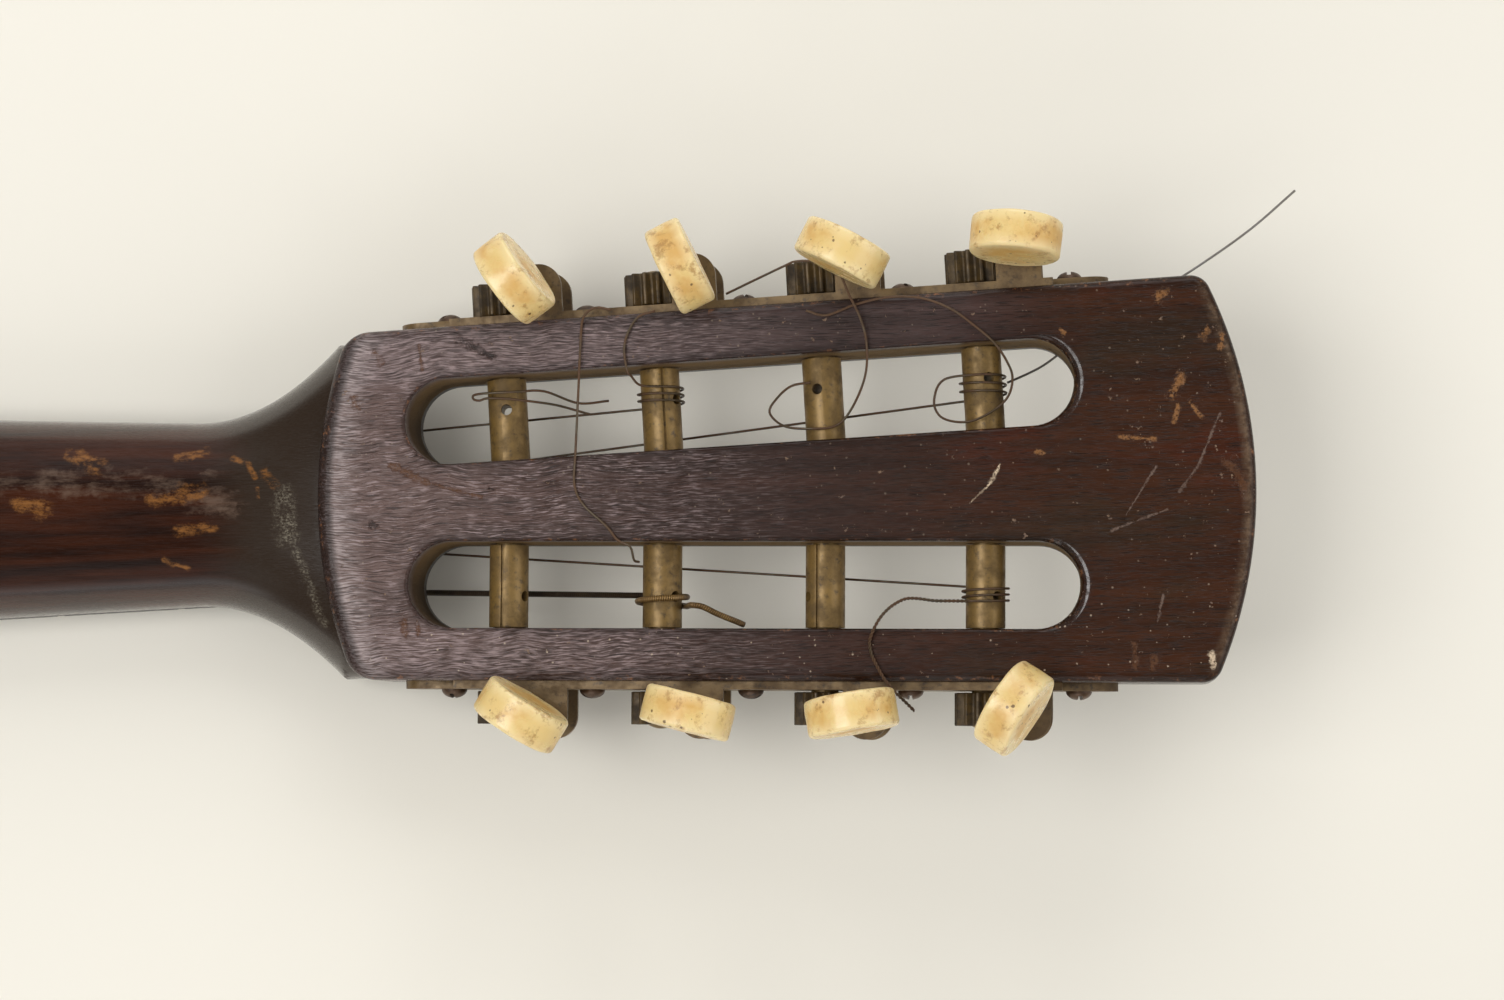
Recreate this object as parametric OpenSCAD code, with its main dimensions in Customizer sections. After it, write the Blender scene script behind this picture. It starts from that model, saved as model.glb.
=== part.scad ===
// Mandolin with a slotted head, lying face down. Millimetres, +X to the head tip, +Z to the back.

/* [Head] */
// length of the head from its crest to the tip
head_length = 137.4; // [128:0.1:150]
// width of the head at the crest
head_base_width = 50.8; // [48:0.1:54]
// angle by which each side of the head spreads
side_angle = 1.8; // [1.2:0.1:2.4]
// thickness of the head, face veneer included
head_thickness = 15; // [14:0.1:18]
// thickness of the face veneer
veneer_thickness = 2; // [1:0.1:2.5]
// angle of the head to the neck
head_angle = 10; // [7:0.5:13]
// rounding of the two corners at the tip
tip_corner_radius = 3; // [1:0.1:6]
// rounding of the two corners at the crest
crest_corner_radius = 5; // [3:0.1:7]
// start of the string slots after the crest
slot_start = 13.1; // [11:0.1:15]
// length of each string slot
slot_length = 98.2; // [96:0.1:102]
// width of each string slot
slot_width = 12.7; // [11.5:0.1:13.5]
// wood between a slot and the side of the head
rail_width = 7.65; // [7:0.05:8.4]

/* [Tuners] */
// distance from one roller to the next
roller_pitch = 23.5; // [22.6:0.1:24]
// shift of the second tuner of each side along the head
second_shift = -0.6; // [-0.8:0.1:0.8]
// first roller after the crest
first_roller = 27.4; // [25:0.1:29]
// diameter of the brass rollers
roller_diameter = 5.8; // [5:0.1:6.4]
// diameter of the roller journals in the wood
journal_diameter = 4; // [3.4:0.1:4.6]
// length of the journal in the middle bar
tip_journal_length = 3.2; // [2:0.1:3.8]
// running clearance round the journals, on the radius
running_gap = 0.05; // [0.03:0.01:0.1]
// end clearance between turning and fixed pieces
end_gap = 0.3; // [0.25:0.05:0.4]
// diameter of the string hole in a roller
string_hole = 1.6; // [1.2:0.1:2]
// width of the lengthwise seam of the rolled brass
seam_width = 0.35; // [0.2:0.05:0.5]
// shift of the lower tuner set along its side
lower_shift = -0.5; // [-0.8:0.1:0.4]
// length of each tuner plate
plate_length = 105; // [103:0.1:108]
// start of the plate after the crest
plate_start = 12.2; // [11:0.1:13.5]
// width of the tuner plate
plate_width = 11.4; // [11:0.1:12.2]
// thickness of the tuner plate
plate_thickness = 1.2; // [0.8:0.1:1.4]
// thickness of the bearing tabs
tab_thickness = 1.2; // [0.9:0.1:1.5]
// half width of a bearing tab
tab_radius = 3.3; // [3:0.1:3.5]
// distance of the worm axis from the plate
worm_out = 3.9; // [3.5:0.1:4.4]
// shift of the tabs past the worm axis, away from the gear
tab_shift = 0.8; // [0.4:0.1:1.1]
// teeth on a gear
gear_teeth = 14; // [12:1:16]
// outside diameter of a gear
gear_diameter = 9; // [8.4:0.1:9.4]
// width of a gear along its roller
gear_width = 4.8; // [3.6:0.1:5.2]
// height of the gear teeth
tooth_height = 0.95; // [0.8:0.05:1.05]
// outside diameter of a worm
worm_diameter = 3.5; // [3.3:0.1:3.8]
// depth of the worm thread
thread_depth = 0.9; // [0.8:0.05:0.95]
// clearance from the gear teeth to the worm root
mesh_gap = 0.25; // [0.2:0.05:0.35]
// diameter of the worm stem below the button
stem_diameter = 2.4; // [2:0.1:2.8]
// diameter of a button seen from its flat side
button_diameter = 13.1; // [11:0.1:14]
// thickness of a button
button_thickness = 5.4; // [4:0.1:6]
// rounding of the button rim
button_round = 1; // [0.5:0.1:1.6]
// height of the button above the back of the head
button_lift = 1.6; // [1:0.1:4]
// diameter of the plate screw heads
screw_head = 3.8; // [3:0.1:4.4]
// diameter of the plate screw shanks
screw_shank = 2; // [1.6:0.1:2.4]

/* [Neck] */
// string length from nut to bridge
scale_length = 340; // [330:1:350]
// width of the neck at the nut
nut_width = 26.4; // [25:0.1:29]
// widening of the neck for each millimetre of length
neck_taper = 0.072; // [0.05:0.002:0.09]
// depth of the neck wood at the nut
neck_depth = 11; // [10:0.1:12]
// start of the flare before the nut
flare_start = 20.6; // [15:0.1:26]
// start of the scoop below the crest, before the nut
scoop_start = 12; // [8:0.1:16]
// length of the heel
heel_length = 42; // [34:0.5:50]
// thickness of the fingerboard
board_thickness = 4.2; // [3.5:0.1:5]
// length of the fingerboard
board_length = 215; // [213.5:0.5:218]
// number of frets
fret_count = 17; // [12:1:17]
// height of the frets
fret_height = 0.9; // [0.7:0.1:1.1]
// thickness of the nut
nut_thickness = 4; // [3:0.1:4.2]
// gap from the strings to the fingerboard
string_height = 2.1; // [1.9:0.1:2.6]

/* [Body] */
// fret at which the neck meets the body
joint_fret = 10; // [10:1:11]
// length of the body
body_length = 295; // [285:1:305]
// greatest width of the body
body_width = 210; // [200:1:220]
// distance of the widest place from the tail
widest_from_tail = 112; // [106:1:120]
// width of the body at the neck
body_neck_width = 48; // [46:1:56]
// depth of the body
body_depth = 62; // [55:1:70]
// thickness of the soundboard
soundboard_thickness = 2.6; // [2.2:0.1:3.2]
// thickness of the back
back_thickness = 2.8; // [2.4:0.1:3.4]
// thickness of the ribs
rib_thickness = 2.4; // [2:0.1:3]
// width of the binding
binding_width = 2; // [1.5:0.1:2.4]
// width of the linings
lining_width = 5; // [4:0.1:6]
// height of the linings
lining_height = 6; // [5:0.1:7]
// width of a brace
brace_width = 7; // [5:0.1:9]
// height of a brace
brace_height = 10; // [8:0.1:14]
// distance of the soundboard braces from the rim of the sound hole
hole_margin = 9; // [8:0.5:12]
// distance of the rear soundboard brace behind the bridge
bridge_brace = 34; // [28:1:40]
// gap between the front soundboard brace and the neck block
block_gap = 16.3; // [12:0.1:20]
// distance of the front back brace behind the neck block
block_brace = 20; // [14:1:26]
// distance of the middle back brace before the widest place
middle_brace = 40; // [34:1:46]
// distance of the rear back brace behind the widest place
rear_brace = 30; // [24:1:36]
// length of the tail block
tail_block_length = 24; // [20:0.5:28]
// width of the tail block
tail_block_width = 60; // [50:1:70]
// gap between the linings and the blocks
lining_gap = 0.4; // [0.2:0.1:1]
// radius of the sound hole
hole_radius = 24; // [21:0.5:25]
// distance of the sound hole from the end of the fingerboard
hole_gap = 33; // [31.5:0.5:36]
// width of the rosette ring
rosette_width = 3.5; // [2:0.1:4]
// depth of the rosette in the soundboard
rosette_depth = 0.8; // [0.5:0.1:1.2]

/* [Fittings] */
// length of the bridge across the soundboard
bridge_length = 104; // [90:1:116]
// width of the bridge along the strings
bridge_width = 7; // [6:0.1:9]
// length of the bridge saddle
saddle_length = 46; // [44:0.5:54]
// thickness of the bridge saddle
saddle_thickness = 2.4; // [2:0.1:3]
// depth of the saddle in the bridge
saddle_depth = 1.5; // [1:0.1:2]
// thickness of the tailpiece
tailpiece_thickness = 1.2; // [1:0.1:1.5]
// length of the tailpiece on the soundboard
tailpiece_length = 20; // [16:0.5:26]
// width of the tailpiece
tailpiece_width = 36; // [34:0.5:42]
// length of the tailpiece down the tail
tailpiece_drop = 52; // [50:0.5:56]
// width of the tailpiece down the tail
tailpiece_foot = 18; // [14:0.5:24]
// spread of the outer strings at the nut
nut_spread = 23.2; // [21:0.1:23.6]
// spread of the outer strings at the bridge
bridge_spread = 39; // [36:0.1:41]
// diameter of the plain strings
plain_string = 0.36; // [0.3:0.02:0.44]
// diameter of the wound string
wound_string = 0.9; // [0.8:0.02:1]

/* [Hidden] */
$fn = 48;

// heights above the table
string_z = wound_string / 2;
crown_z = 0;
board_z = string_z + string_height;
flat_z = board_z + board_thickness;
sound_z = flat_z + soundboard_thickness;
back_z = flat_z + body_depth;
head_x = nut_thickness + 0.5;
head_z = flat_z - 1.4;

// head
head_radius = head_length / 2;
half_base = head_base_width / 2;
spread = tan(side_angle);
axis_z = head_thickness / 2;
function corner(r, way) = let (base = half_base - r / cos(side_angle), a = 1 + spread * spread,
        b = base * spread - head_radius,
        c = head_radius * head_radius + base * base - pow(head_radius - r, 2),
        u = (-b + way * sqrt(b * b - a * c)) / a)
    [u, base + u * spread];
tip_centre = corner(tip_corner_radius, 1);
crest_centre = corner(crest_corner_radius, -1);
tip_turn = atan2(tip_centre[1], tip_centre[0] - head_radius);
crest_turn = atan2(crest_centre[1], crest_centre[0] - head_radius);
crest_end = [head_radius + head_radius * cos(crest_turn), head_radius * sin(crest_turn)];
slot_y = -(rail_width + slot_width / 2);

// tuners
gear_radius = gear_diameter / 2;
pitch_radius = gear_radius - tooth_height / 2;
worm_pitch = 2 * PI * pitch_radius / gear_teeth;
worm_root = worm_diameter / 2 - thread_depth;
worm_x = gear_radius + worm_root + mesh_gap;
roller_radius = roller_diameter / 2;
gear_y = plate_thickness + end_gap;
gear_shaft = journal_diameter / 2 - 0.4;
lower_tab_z = axis_z - plate_width / 2;
upper_tab_z = axis_z + plate_width / 2 - tab_thickness;
thread_low = lower_tab_z + tab_thickness + 0.15;
thread_high = upper_tab_z - 0.15;
worm_y = plate_thickness + worm_out;
button_z = head_thickness + button_lift + button_diameter / 2;
stem_top = button_z - button_diameter / 2 + 7;
screw_x = concat([first_roller - 8],
    [for (k = [0:2]) first_roller + k * roller_pitch + 12.6],
    [first_roller + 3 * roller_pitch + 13.6]);
bend_z = upper_tab_z + tab_thickness + 0.2;
seat_gap = 0.02;
top_diameter = stem_diameter - 0.4;
upper_lean = [[-1.2, 0.1], [0.1, 0.2], [-0.5, 0.5], [1, 0.9]];
lower_lean = [[-1.1, 0], [0.1, -0.4], [-0.5, -0.4], [-0.9, -1.2]];
upper_turn = [-58, -68, -30, -9];
lower_turn = [32, 14, -10, -57];
upper_hole = [4, 60, -14, 22];
lower_hole = [65, 50, -60, 40];
upper_seam = [150, 14, 120, -100];
lower_seam = [-12, 140, -20, 100];

// neck and body
joint_x = -scale_length * (1 - pow(2, -joint_fret / 12));
tail_x = joint_x - body_length;
wide_x = tail_x + widest_from_tail;
half_body = body_width / 2;
front_turn = acos(body_neck_width / body_width);
hole_x = -board_length - hole_gap;
bridge_x = -scale_length;
crest_x = head_x - head_thickness * sin(head_angle);
crest_z = head_z + head_thickness * cos(head_angle);
wall_x = head_x + crest_end[0] + 0.4;
flare_rise = crest_end[1] - nut_width / 2 + wall_x * neck_taper / 2;
flare_run = wall_x + flare_start;
flare_radius = (flare_run * flare_run + flare_rise * flare_rise) / (2 * flare_rise);

// strings: height over the axis, place across the nut, bridge and tailpiece
string_nut = [0.5, 0.19, -0.21, -0.5] * nut_spread;
string_bridge = [0.5, 0.19, -0.21, -0.5] * bridge_spread;
nut_grooves = [-0.5, -0.42, -0.21, -0.13, 0.11, 0.19, 0.42, 0.5];
string_pin = [0.375, 0.125, -0.125, -0.375] * (tailpiece_width - 4);
string_size = [plain_string, plain_string, plain_string, wound_string];
string_side = [1, 1, -1, -1];
string_roller = [1, 3, 3, 1];
coil_from = [0.9, -1, 0, 1.2];
coil_to = [3.4, 2, 2.2, 2.9];
coil_turns = [2.5, 2.5, 2.5, 1.25];
pin_z = flat_z - tailpiece_thickness - 1;

// routes of the loose ends over the head, in the frame of the head
tail_a = [[48.2, 16.5, 12.6], [47.2, 17.7, 14.6], [46.8, 18.3, 15.6], [46.4, 21.4, 15.5],
    [47, 23.9, 15.5], [48.6, 26.2, 15.5], [51.1, 27, 15.5]];
tail_b = [[92.8, 15.9, 10.6], [91.2, 13.1, 10], [91.8, 10.8, 10.2], [93.8, 9.7, 11],
    [96.7, 9.6, 11.6], [100, 11.1, 11.6], [102.1, 13.1, 11.4], [102.8, 15.7, 12.2],
    [102.1, 17.9, 13.8], [100.4, 20.5, 15.6], [97.5, 23.2, 15.5], [94.2, 25.7, 15.5],
    [90, 27.4, 15.5], [85.2, 27.7, 15.5], [80.4, 26.8, 15.5], [76.1, 25.4, 15.5],
    [73.2, 26.2, 15.6]];
tail_c = [[90.4, -16.4, 11.4], [86.8, -16, 12.6], [84.2, -17.3, 14.5], [82.4, -19.4, 15.7],
    [81.2, -22, 15.6], [81.5, -24.5, 15.5], [82.5, -26.5, 15.5], [83.7, -28.6, 15.3],
    [85.2, -30.2, 14.7], [86.3, -31.4, 14.1], [87.5, -32.7, 13.5]];
tail_d = [[54.5, -15.9, 9.2], [55.3, -16, 10.8], [56.6, -16.3, 11.2], [58.7, -17.4, 10.6],
    [61, -18.4, 9.8], [62.3, -19, 9]];
wire_a = [[40.2, 12.8, 8.5], [35.4, 14.2, 10], [31.1, 14.9, 11.1], [28.2, 15.3, 11.3],
    [25.3, 15.5, 11], [23.7, 15.3, 10.8], [23.3, 15.8, 11.1], [25.5, 16.1, 11.9],
    [29.9, 16.2, 12.1], [33.8, 16.2, 11.2], [38.5, 14.5, 8.9], [42.9, 14.8, 7.6]];
wire_b = [[44.6, 27.4, 15.4], [42.3, 27.8, 15.4], [40.5, 26.4, 15.5], [40, 22.6, 15.6],
    [39.5, 14.8, 15.8], [38.9, 7, 15.5], [38.6, 1.9, 15.4], [39.9, -1.1, 15.4],
    [43.1, -4.2, 15.6], [44.8, -6.4, 15.5], [46.6, -7.4, 15.5], [47, -9.3, 14.6],
    [47.5, -9.5, 13]];
wire_c = [[73.2, 16.1, 11.4], [70.4, 15.7, 11], [68.2, 14.2, 9.7], [66.9, 12.1, 9.2],
    [69.1, 9.9, 10.6], [72.8, 9.3, 11.4], [76.8, 9.6, 11.5], [79.3, 12.1, 12],
    [81.5, 16.6, 14.1], [81.9, 21.2, 15.7], [81.1, 24.8, 16.1], [79.6, 28.2, 16.2],
    [78.35, 31.2, 15.9], [76.4, 32.7, 14.6], [74.1, 33.7, 13.2], [71.6, 33.8, 12.9],
    [70.2, 33.3, 12.8], [65.8, 31.4, 12.8], [61.3, 29.4, 12.9]];
wire_d = [[101.8, 15.8, 3.6], [105, 17.4, 0.9], [107.6, 18.9, -0.3], [112.4, 22.3, -0.32],
    [116.8, 25.1, -0.4], [124.5, 29.2, -1], [130.6, 32.8, -1.8], [138.3, 38, -2.6],
    [145.1, 43.6, -3]];

function in_head(p) = [head_x + p[0] * cos(head_angle) - p[2] * sin(head_angle), p[1],
    head_z + p[0] * sin(head_angle) + p[2] * cos(head_angle)];
function on_side(s, p) = [p[0] * cos(side_angle) - p[1] * sin(side_angle),
    s * (half_base + p[0] * sin(side_angle) + p[1] * cos(side_angle)), p[2]];
function roller_x(k) = first_roller + k * roller_pitch + (k == 1 ? second_shift : 0);

// the tip of the head and the tailpiece screws end the length
far_x = in_head([head_length, 0, 0])[0];
near_x = tail_x - tailpiece_thickness - 1.1;
middle_x = (far_x + near_x) / 2;

function unit(v) = v / norm(v);
function tangent(p, i) = unit(p[min(i + 1, len(p) - 1)] - p[max(i - 1, 0)]);
function carried(n, t) = unit(n - (n * t) * t);
function normals(p, n, i = 0) = i == len(p) ? [] :
    let (m = carried(n, tangent(p, i))) concat([m], normals(p, m, i + 1));

// a round tube along the points of a route
module tube(p, d, sides = 8) {
    first = tangent(p, 0);
    n = normals(p, abs(first[2]) > 0.8 ? [1, 0, 0] : [0, 0, 1]);
    points = [for (i = [0:len(p) - 1]) let (b = cross(tangent(p, i), n[i]))
        for (k = [0:sides - 1])
            p[i] + d / 2 * (cos(360 * k / sides) * n[i] + sin(360 * k / sides) * b)];
    last = (len(p) - 1) * sides;
    sideways = [for (i = [0:len(p) - 2]) for (k = [0:sides - 1]) for (half = [0, 1])
        let (a = i * sides + k, b = i * sides + (k + 1) % sides)
            half == 0 ? [a, a + sides, b] : [b, a + sides, b + sides]];
    polyhedron(points, concat([[for (k = [0:sides - 1]) k]], sideways,
        [[for (k = [sides - 1:-1:0]) last + k]]), convexity = 10);
}

function coil(i) = let (r = roller_radius + end_gap + string_size[i] / 2,
        rings = round(20 * coil_turns[i]))
    [for (j = [0:rings]) let (t = -90 + 360 * coil_turns[i] * j / rings,
            y = slot_y + coil_from[i] + (coil_to[i] - coil_from[i]) * j / rings)
        in_head(on_side(string_side[i], [roller_x(string_roller[i])
            + (string_side[i] < 0 ? lower_shift : 0) + r * cos(t), y, axis_z + r * sin(t)]))];
function string_tail(i) = [for (p = [tail_a, tail_b, tail_c, tail_d][i]) in_head(p)];
function string_route(i) = concat([[tail_x + 8, string_pin[i], pin_z],
    [bridge_x - saddle_thickness / 2, string_bridge[i], string_z],
    [nut_thickness, string_nut[i], string_z]], coil(i), string_tail(i));
coil_gap = min([for (i = [0:3]) (coil_to[i] - coil_from[i]) / coil_turns[i] - string_size[i]]);
echo(smallest_gap_between_turns = coil_gap);

module lie() translate([-middle_x, 0, 0]) children();

module head_frame() lie() translate([head_x, 0, head_z]) rotate([0, -head_angle, 0]) children();

// the frame of one side of the head: x along the side, y outwards, z to the back
module side_frame(s) head_frame() {
    if (s > 0) translate([0, half_base, 0]) rotate(side_angle) children();
    else mirror([0, 1, 0]) translate([0, half_base, 0]) rotate(side_angle)
        translate([lower_shift, 0, 0]) children();
}

// outline of the head: spreading sides between two arcs, with round corners
function arc(centre, r, from, to, steps) =
    [for (i = [0:steps]) let (a = from + (to - from) * i / steps) centre + r * [cos(a), sin(a)]];
head_half = concat(arc([head_radius, 0], head_radius, 180, crest_turn, 10),
    arc(crest_centre, crest_corner_radius, crest_turn, 90 + side_angle, 6),
    arc(tip_centre, tip_corner_radius, 90 + side_angle, tip_turn, 6),
    arc([head_radius, 0], head_radius, tip_turn, 0, 12));
module head_plan() polygon(concat(head_half,
    [for (i = [len(head_half) - 2:-1:1]) [head_half[i][0], -head_half[i][1]]]));

// the two string slots, in the frame of the head
module slots() {
    for (s = [0, 1]) mirror([0, s, 0]) translate([0, half_base, 0]) rotate(side_angle)
        translate([0, slot_y, -1]) {
            for (x = [slot_start + slot_width / 2, slot_start + slot_length - slot_width / 2])
                translate([x, 0, 0]) cylinder(d = slot_width, h = head_thickness + 2);
            translate([slot_start + slot_width / 2, -slot_width / 2, 0])
                cube([slot_length - slot_width, slot_width, head_thickness + 2]);
        }
}

module along_y() rotate([-90, 0, 0]) children();

// holes for the roller journals and the plate screws
module head_bores() {
    for (s = [0, 1]) mirror([0, s, 0]) translate([0, half_base, axis_z]) rotate(side_angle)
            translate([s * lower_shift, 0, 0]) {
        for (k = [0:3])
            translate([roller_x(k), slot_y - slot_width / 2 - tip_journal_length - end_gap, 0])
                along_y() cylinder(d = journal_diameter + 2 * running_gap,
                    h = rail_width + slot_width + tip_journal_length + 2);
        for (x = screw_x) translate([x, -5, 0]) along_y() cylinder(d = screw_shank, h = 6);
    }
}

module head_block() color("#3d2820") head_frame() difference() {
    translate([0, 0, veneer_thickness])
        linear_extrude(head_thickness - veneer_thickness) head_plan();
    slots();
    head_bores();
}

module head_veneer() color("#2b1c16") head_frame() difference() {
    linear_extrude(veneer_thickness) head_plan();
    slots();
}

// the back of the head as a height over the table
function head_back(x) = crest_z + (x - crest_x) * tan(head_angle);
function neck_line(x) = nut_width / 2 - x * neck_taper / 2;
function flare(x) = x < -flare_start ? 0 :
    flare_radius - sqrt(max(0, pow(flare_radius, 2) - pow(x + flare_start, 2)));
function heel(x) = pow(max(0, joint_x + heel_length - x) / heel_length, 2.4);
function scoop(x) = min(1, max(0, x + scoop_start) / (crest_x + scoop_start));
function neck_half(x) = neck_line(x) + flare(x)
    + heel(x) * (body_neck_width / 2 - 1 - neck_line(joint_x));
function neck_drop(x) = let (plain = neck_depth - x * 0.012)
    plain + pow(scoop(x), 2.2) * (head_back(max(x, crest_x)) - 0.25 - flat_z - plain)
    + heel(x) * (body_depth - back_thickness - plain);
neck_x = concat([for (t = [0, 0.08, 0.18, 0.3, 0.45, 0.65, 1]) joint_x + t * heel_length],
    [for (t = [0.35, 0.7]) joint_x + heel_length + t * (-flare_start - joint_x - heel_length)],
    [for (t = [0:9]) -flare_start + t * flare_run / 9]);
neck_sides = 18;

function neck_ring(x) = let (w = neck_half(x), d = neck_drop(x), n = 2 / (2.1 + 1.2 * scoop(x)))
    [for (k = [0:neck_sides]) let (a = 180 * k / neck_sides)
        [x, w * sign(90 - a) * pow(abs(cos(a)), n), flat_z + d * pow(sin(a), n)]];

module neck_form() {
    count = neck_sides + 1;
    last = (len(neck_x) - 1) * count;
    points = [for (x = neck_x) for (p = neck_ring(x)) p];
    sideways = [for (i = [0:len(neck_x) - 2]) for (k = [0:count - 1]) for (half = [0, 1])
        let (a = i * count + k, b = i * count + (k + 1) % count)
            half == 0 ? [a, b, a + count] : [b, b + count, a + count]];
    polyhedron(points, concat([[for (k = [count - 1:-1:0]) k]], sideways,
        [[for (k = [0:count - 1]) last + k]]), convexity = 6);
}

module neck() color("#3b1c12") difference() {
    lie() neck_form();
    head_frame() translate([head_radius, 0, -40]) cylinder(r = head_radius, h = 90, $fn = 180);
}

module across_y(x, z) translate([x, 0, z]) rotate([90, 0, 0]) children();

function fret_x(n) = -scale_length * (1 - pow(2, -n / 12));

module board_plan(length) polygon([[0, nut_width / 2], [-length, neck_line(-length)],
    [-length, -neck_line(-length)], [0, -nut_width / 2]]);

module fingerboard() color("#191312") lie() difference() {
    translate([0, 0, board_z]) linear_extrude(board_thickness) board_plan(board_length);
    for (n = [1:fret_count]) translate([fret_x(n) - 0.3, -40, board_z - 1]) cube([0.6, 80, 2.8]);
}

module frets() color("#b9a46a") lie() for (n = [1:fret_count]) {
    w = neck_line(fret_x(n)) - 0.3;
    translate([fret_x(n) - 0.3, -w, board_z]) cube([0.6, 2 * w, 1.8]);
    difference() {
        translate([fret_x(n), w, board_z + 0.2]) rotate([90, 0, 0])
            cylinder(r = fret_height + 0.2, h = 2 * w);
        translate([fret_x(n) - 3, -w - 1, board_z]) cube([6, 2 * w + 2, 4]);
    }
}

// a groove as wide as the thickest string, open to the crown
module string_groove(length) {
    rotate([0, 90, 0]) cylinder(d = wound_string + 0.04, h = length, $fn = 24);
    translate([0, -wound_string / 2 - 0.02, -5]) cube([length, wound_string + 0.04, 5]);
}

module nut() color("#d9c69a") lie() difference() {
    translate([0, -nut_width / 2, crown_z]) cube([nut_thickness, nut_width, flat_z - crown_z]);
    for (g = nut_grooves) translate([-1, g * nut_spread, string_z]) string_groove(nut_thickness + 2);
}

// outline of the body: half an ellipse at the tail, a sine curve to the neck
function body_half() = concat(
    [for (t = [0:14])
        [joint_x + (wide_x - joint_x) * t / 14, half_body * cos(front_turn * (1 - t / 14))]],
    [for (t = [1:14]) let (a = 90 * t / 14)
        [wide_x - widest_from_tail * sin(a), half_body * cos(a)]]);
body_points = concat(body_half(), [for (i = [27:-1:0]) let (p = body_half()[i]) [p[0], -p[1]]]);
function inset(d) = [for (i = [0:len(body_points) - 1])
    let (n = len(body_points), p = body_points[i], first = i == 0, last = i == n - 1,
        a = first ? p : body_points[i - 1], b = last ? p : body_points[i + 1],
        t = (b - a) / norm(b - a), q = p + d * [-t[1], t[0]])
        first || last ?
            [joint_x - d, q[1] + (q[0] - joint_x + d) * t[1] / max(0.1, -t[0]) * (first ? 1 : -1)] : q];
module body_plan(d = 0) polygon(inset(d));

module ring_plan(a, b) difference() {
    body_plan(a);
    body_plan(b);
}

module soundboard() color("#b98a4e") lie() difference() {
    translate([0, 0, flat_z]) linear_extrude(soundboard_thickness) body_plan(binding_width);
    translate([hole_x, 0, flat_z - 1]) cylinder(r = hole_radius, h = soundboard_thickness + 2);
    translate([hole_x, 0, flat_z - 1])
        cylinder(r = hole_radius + 2.5 + rosette_width, h = rosette_depth + 1);
}

module rosette() color("#3a2a1c") lie() translate([hole_x, 0, flat_z]) difference() {
    cylinder(r = hole_radius + 2.5 + rosette_width, h = rosette_depth);
    translate([0, 0, -1]) cylinder(r = hole_radius, h = rosette_depth + 2);
}

module soundboard_binding() color("#e2d6b4") lie() translate([0, 0, flat_z])
    linear_extrude(soundboard_thickness) ring_plan(0, binding_width);

module back() color("#5a3520") lie() translate([0, 0, back_z - back_thickness])
    linear_extrude(back_thickness) body_plan(binding_width);

module back_binding() color("#e2d6b4") lie() translate([0, 0, back_z - back_thickness])
    linear_extrude(back_thickness) ring_plan(0, binding_width);

module ribs() color("#5a3520") lie() difference() {
    translate([0, 0, sound_z]) linear_extrude(back_z - back_thickness - sound_z)
        ring_plan(0, rib_thickness);
    tail_bores();
}

// end blocks inside the body, the linings run between them
module block_plan(x, length, width) intersection() {
    body_plan(rib_thickness);
    translate([x, -width / 2]) square([length, width]);
}
neck_block_width = body_neck_width - 2 * rib_thickness - 2;
front_brace = hole_x + hole_radius + hole_margin;
block_end = front_brace + brace_width / 2 + block_gap;

module neck_block() color("#8a6238") lie() translate([0, 0, sound_z])
    linear_extrude(back_z - back_thickness - sound_z)
        block_plan(block_end, joint_x - block_end, neck_block_width);

module tail_block() color("#8a6238") lie() difference() {
    translate([0, 0, sound_z]) linear_extrude(back_z - back_thickness - sound_z)
        block_plan(tail_x, tail_block_length, tail_block_width);
    tail_bores();
}

module linings() color("#a67c48") lie() for (z = [sound_z, back_z - back_thickness - lining_height])
    translate([0, 0, z]) linear_extrude(lining_height) difference() {
        ring_plan(rib_thickness, rib_thickness + lining_width);
        translate([block_end - lining_gap, -half_body]) square([joint_x - block_end + 14, body_width]);
        translate([tail_x - 5, -tail_block_width / 2 - lining_gap])
            square([5 + tail_block_length + lining_gap, tail_block_width + 2 * lining_gap]);
    }

module braces(list) for (x = list) intersection() {
    body_plan(rib_thickness + lining_width + 0.2);
    translate([x - brace_width / 2, -half_body]) square([brace_width, body_width]);
}

module soundboard_braces() color("#c49a5c") lie() translate([0, 0, sound_z]) linear_extrude(brace_height)
    braces([front_brace, hole_x - hole_radius - hole_margin, bridge_x - bridge_brace]);

module back_braces() color("#c49a5c") lie()
    translate([0, 0, back_z - back_thickness - brace_height]) linear_extrude(brace_height)
        braces([block_end - block_brace, wide_x + middle_brace, wide_x - rear_brace]);

module bridge() color("#21150f") lie() difference() {
    translate([bridge_x - bridge_width / 2, 0, 0]) rotate([90, 0, 90]) linear_extrude(bridge_width)
        polygon([[-bridge_length / 2, flat_z], [-bridge_length / 2, flat_z - 1.6],
            [-saddle_length / 2 - 14, flat_z - 2.4], [-saddle_length / 2 - 2, crown_z + 1.4],
            [saddle_length / 2 + 2, crown_z + 1.4], [saddle_length / 2 + 14, flat_z - 2.4],
            [bridge_length / 2, flat_z - 1.6], [bridge_length / 2, flat_z],
            [18, flat_z], [15, flat_z - 1.2], [-15, flat_z - 1.2], [-18, flat_z]]);
    translate([bridge_x - saddle_thickness / 2, -saddle_length / 2, crown_z])
        cube([saddle_thickness, saddle_length, 1.4 + saddle_depth]);
}

module bridge_saddle() color("#d9c69a") lie() difference() {
    translate([bridge_x - saddle_thickness / 2, -saddle_length / 2, crown_z])
        cube([saddle_thickness, saddle_length, 1.4 + saddle_depth]);
    for (g = nut_grooves) translate([bridge_x - 5, g * bridge_spread, string_z]) string_groove(10);
}

tail_screws = [[0, 14], [0, 30], [0, 44]];

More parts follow.
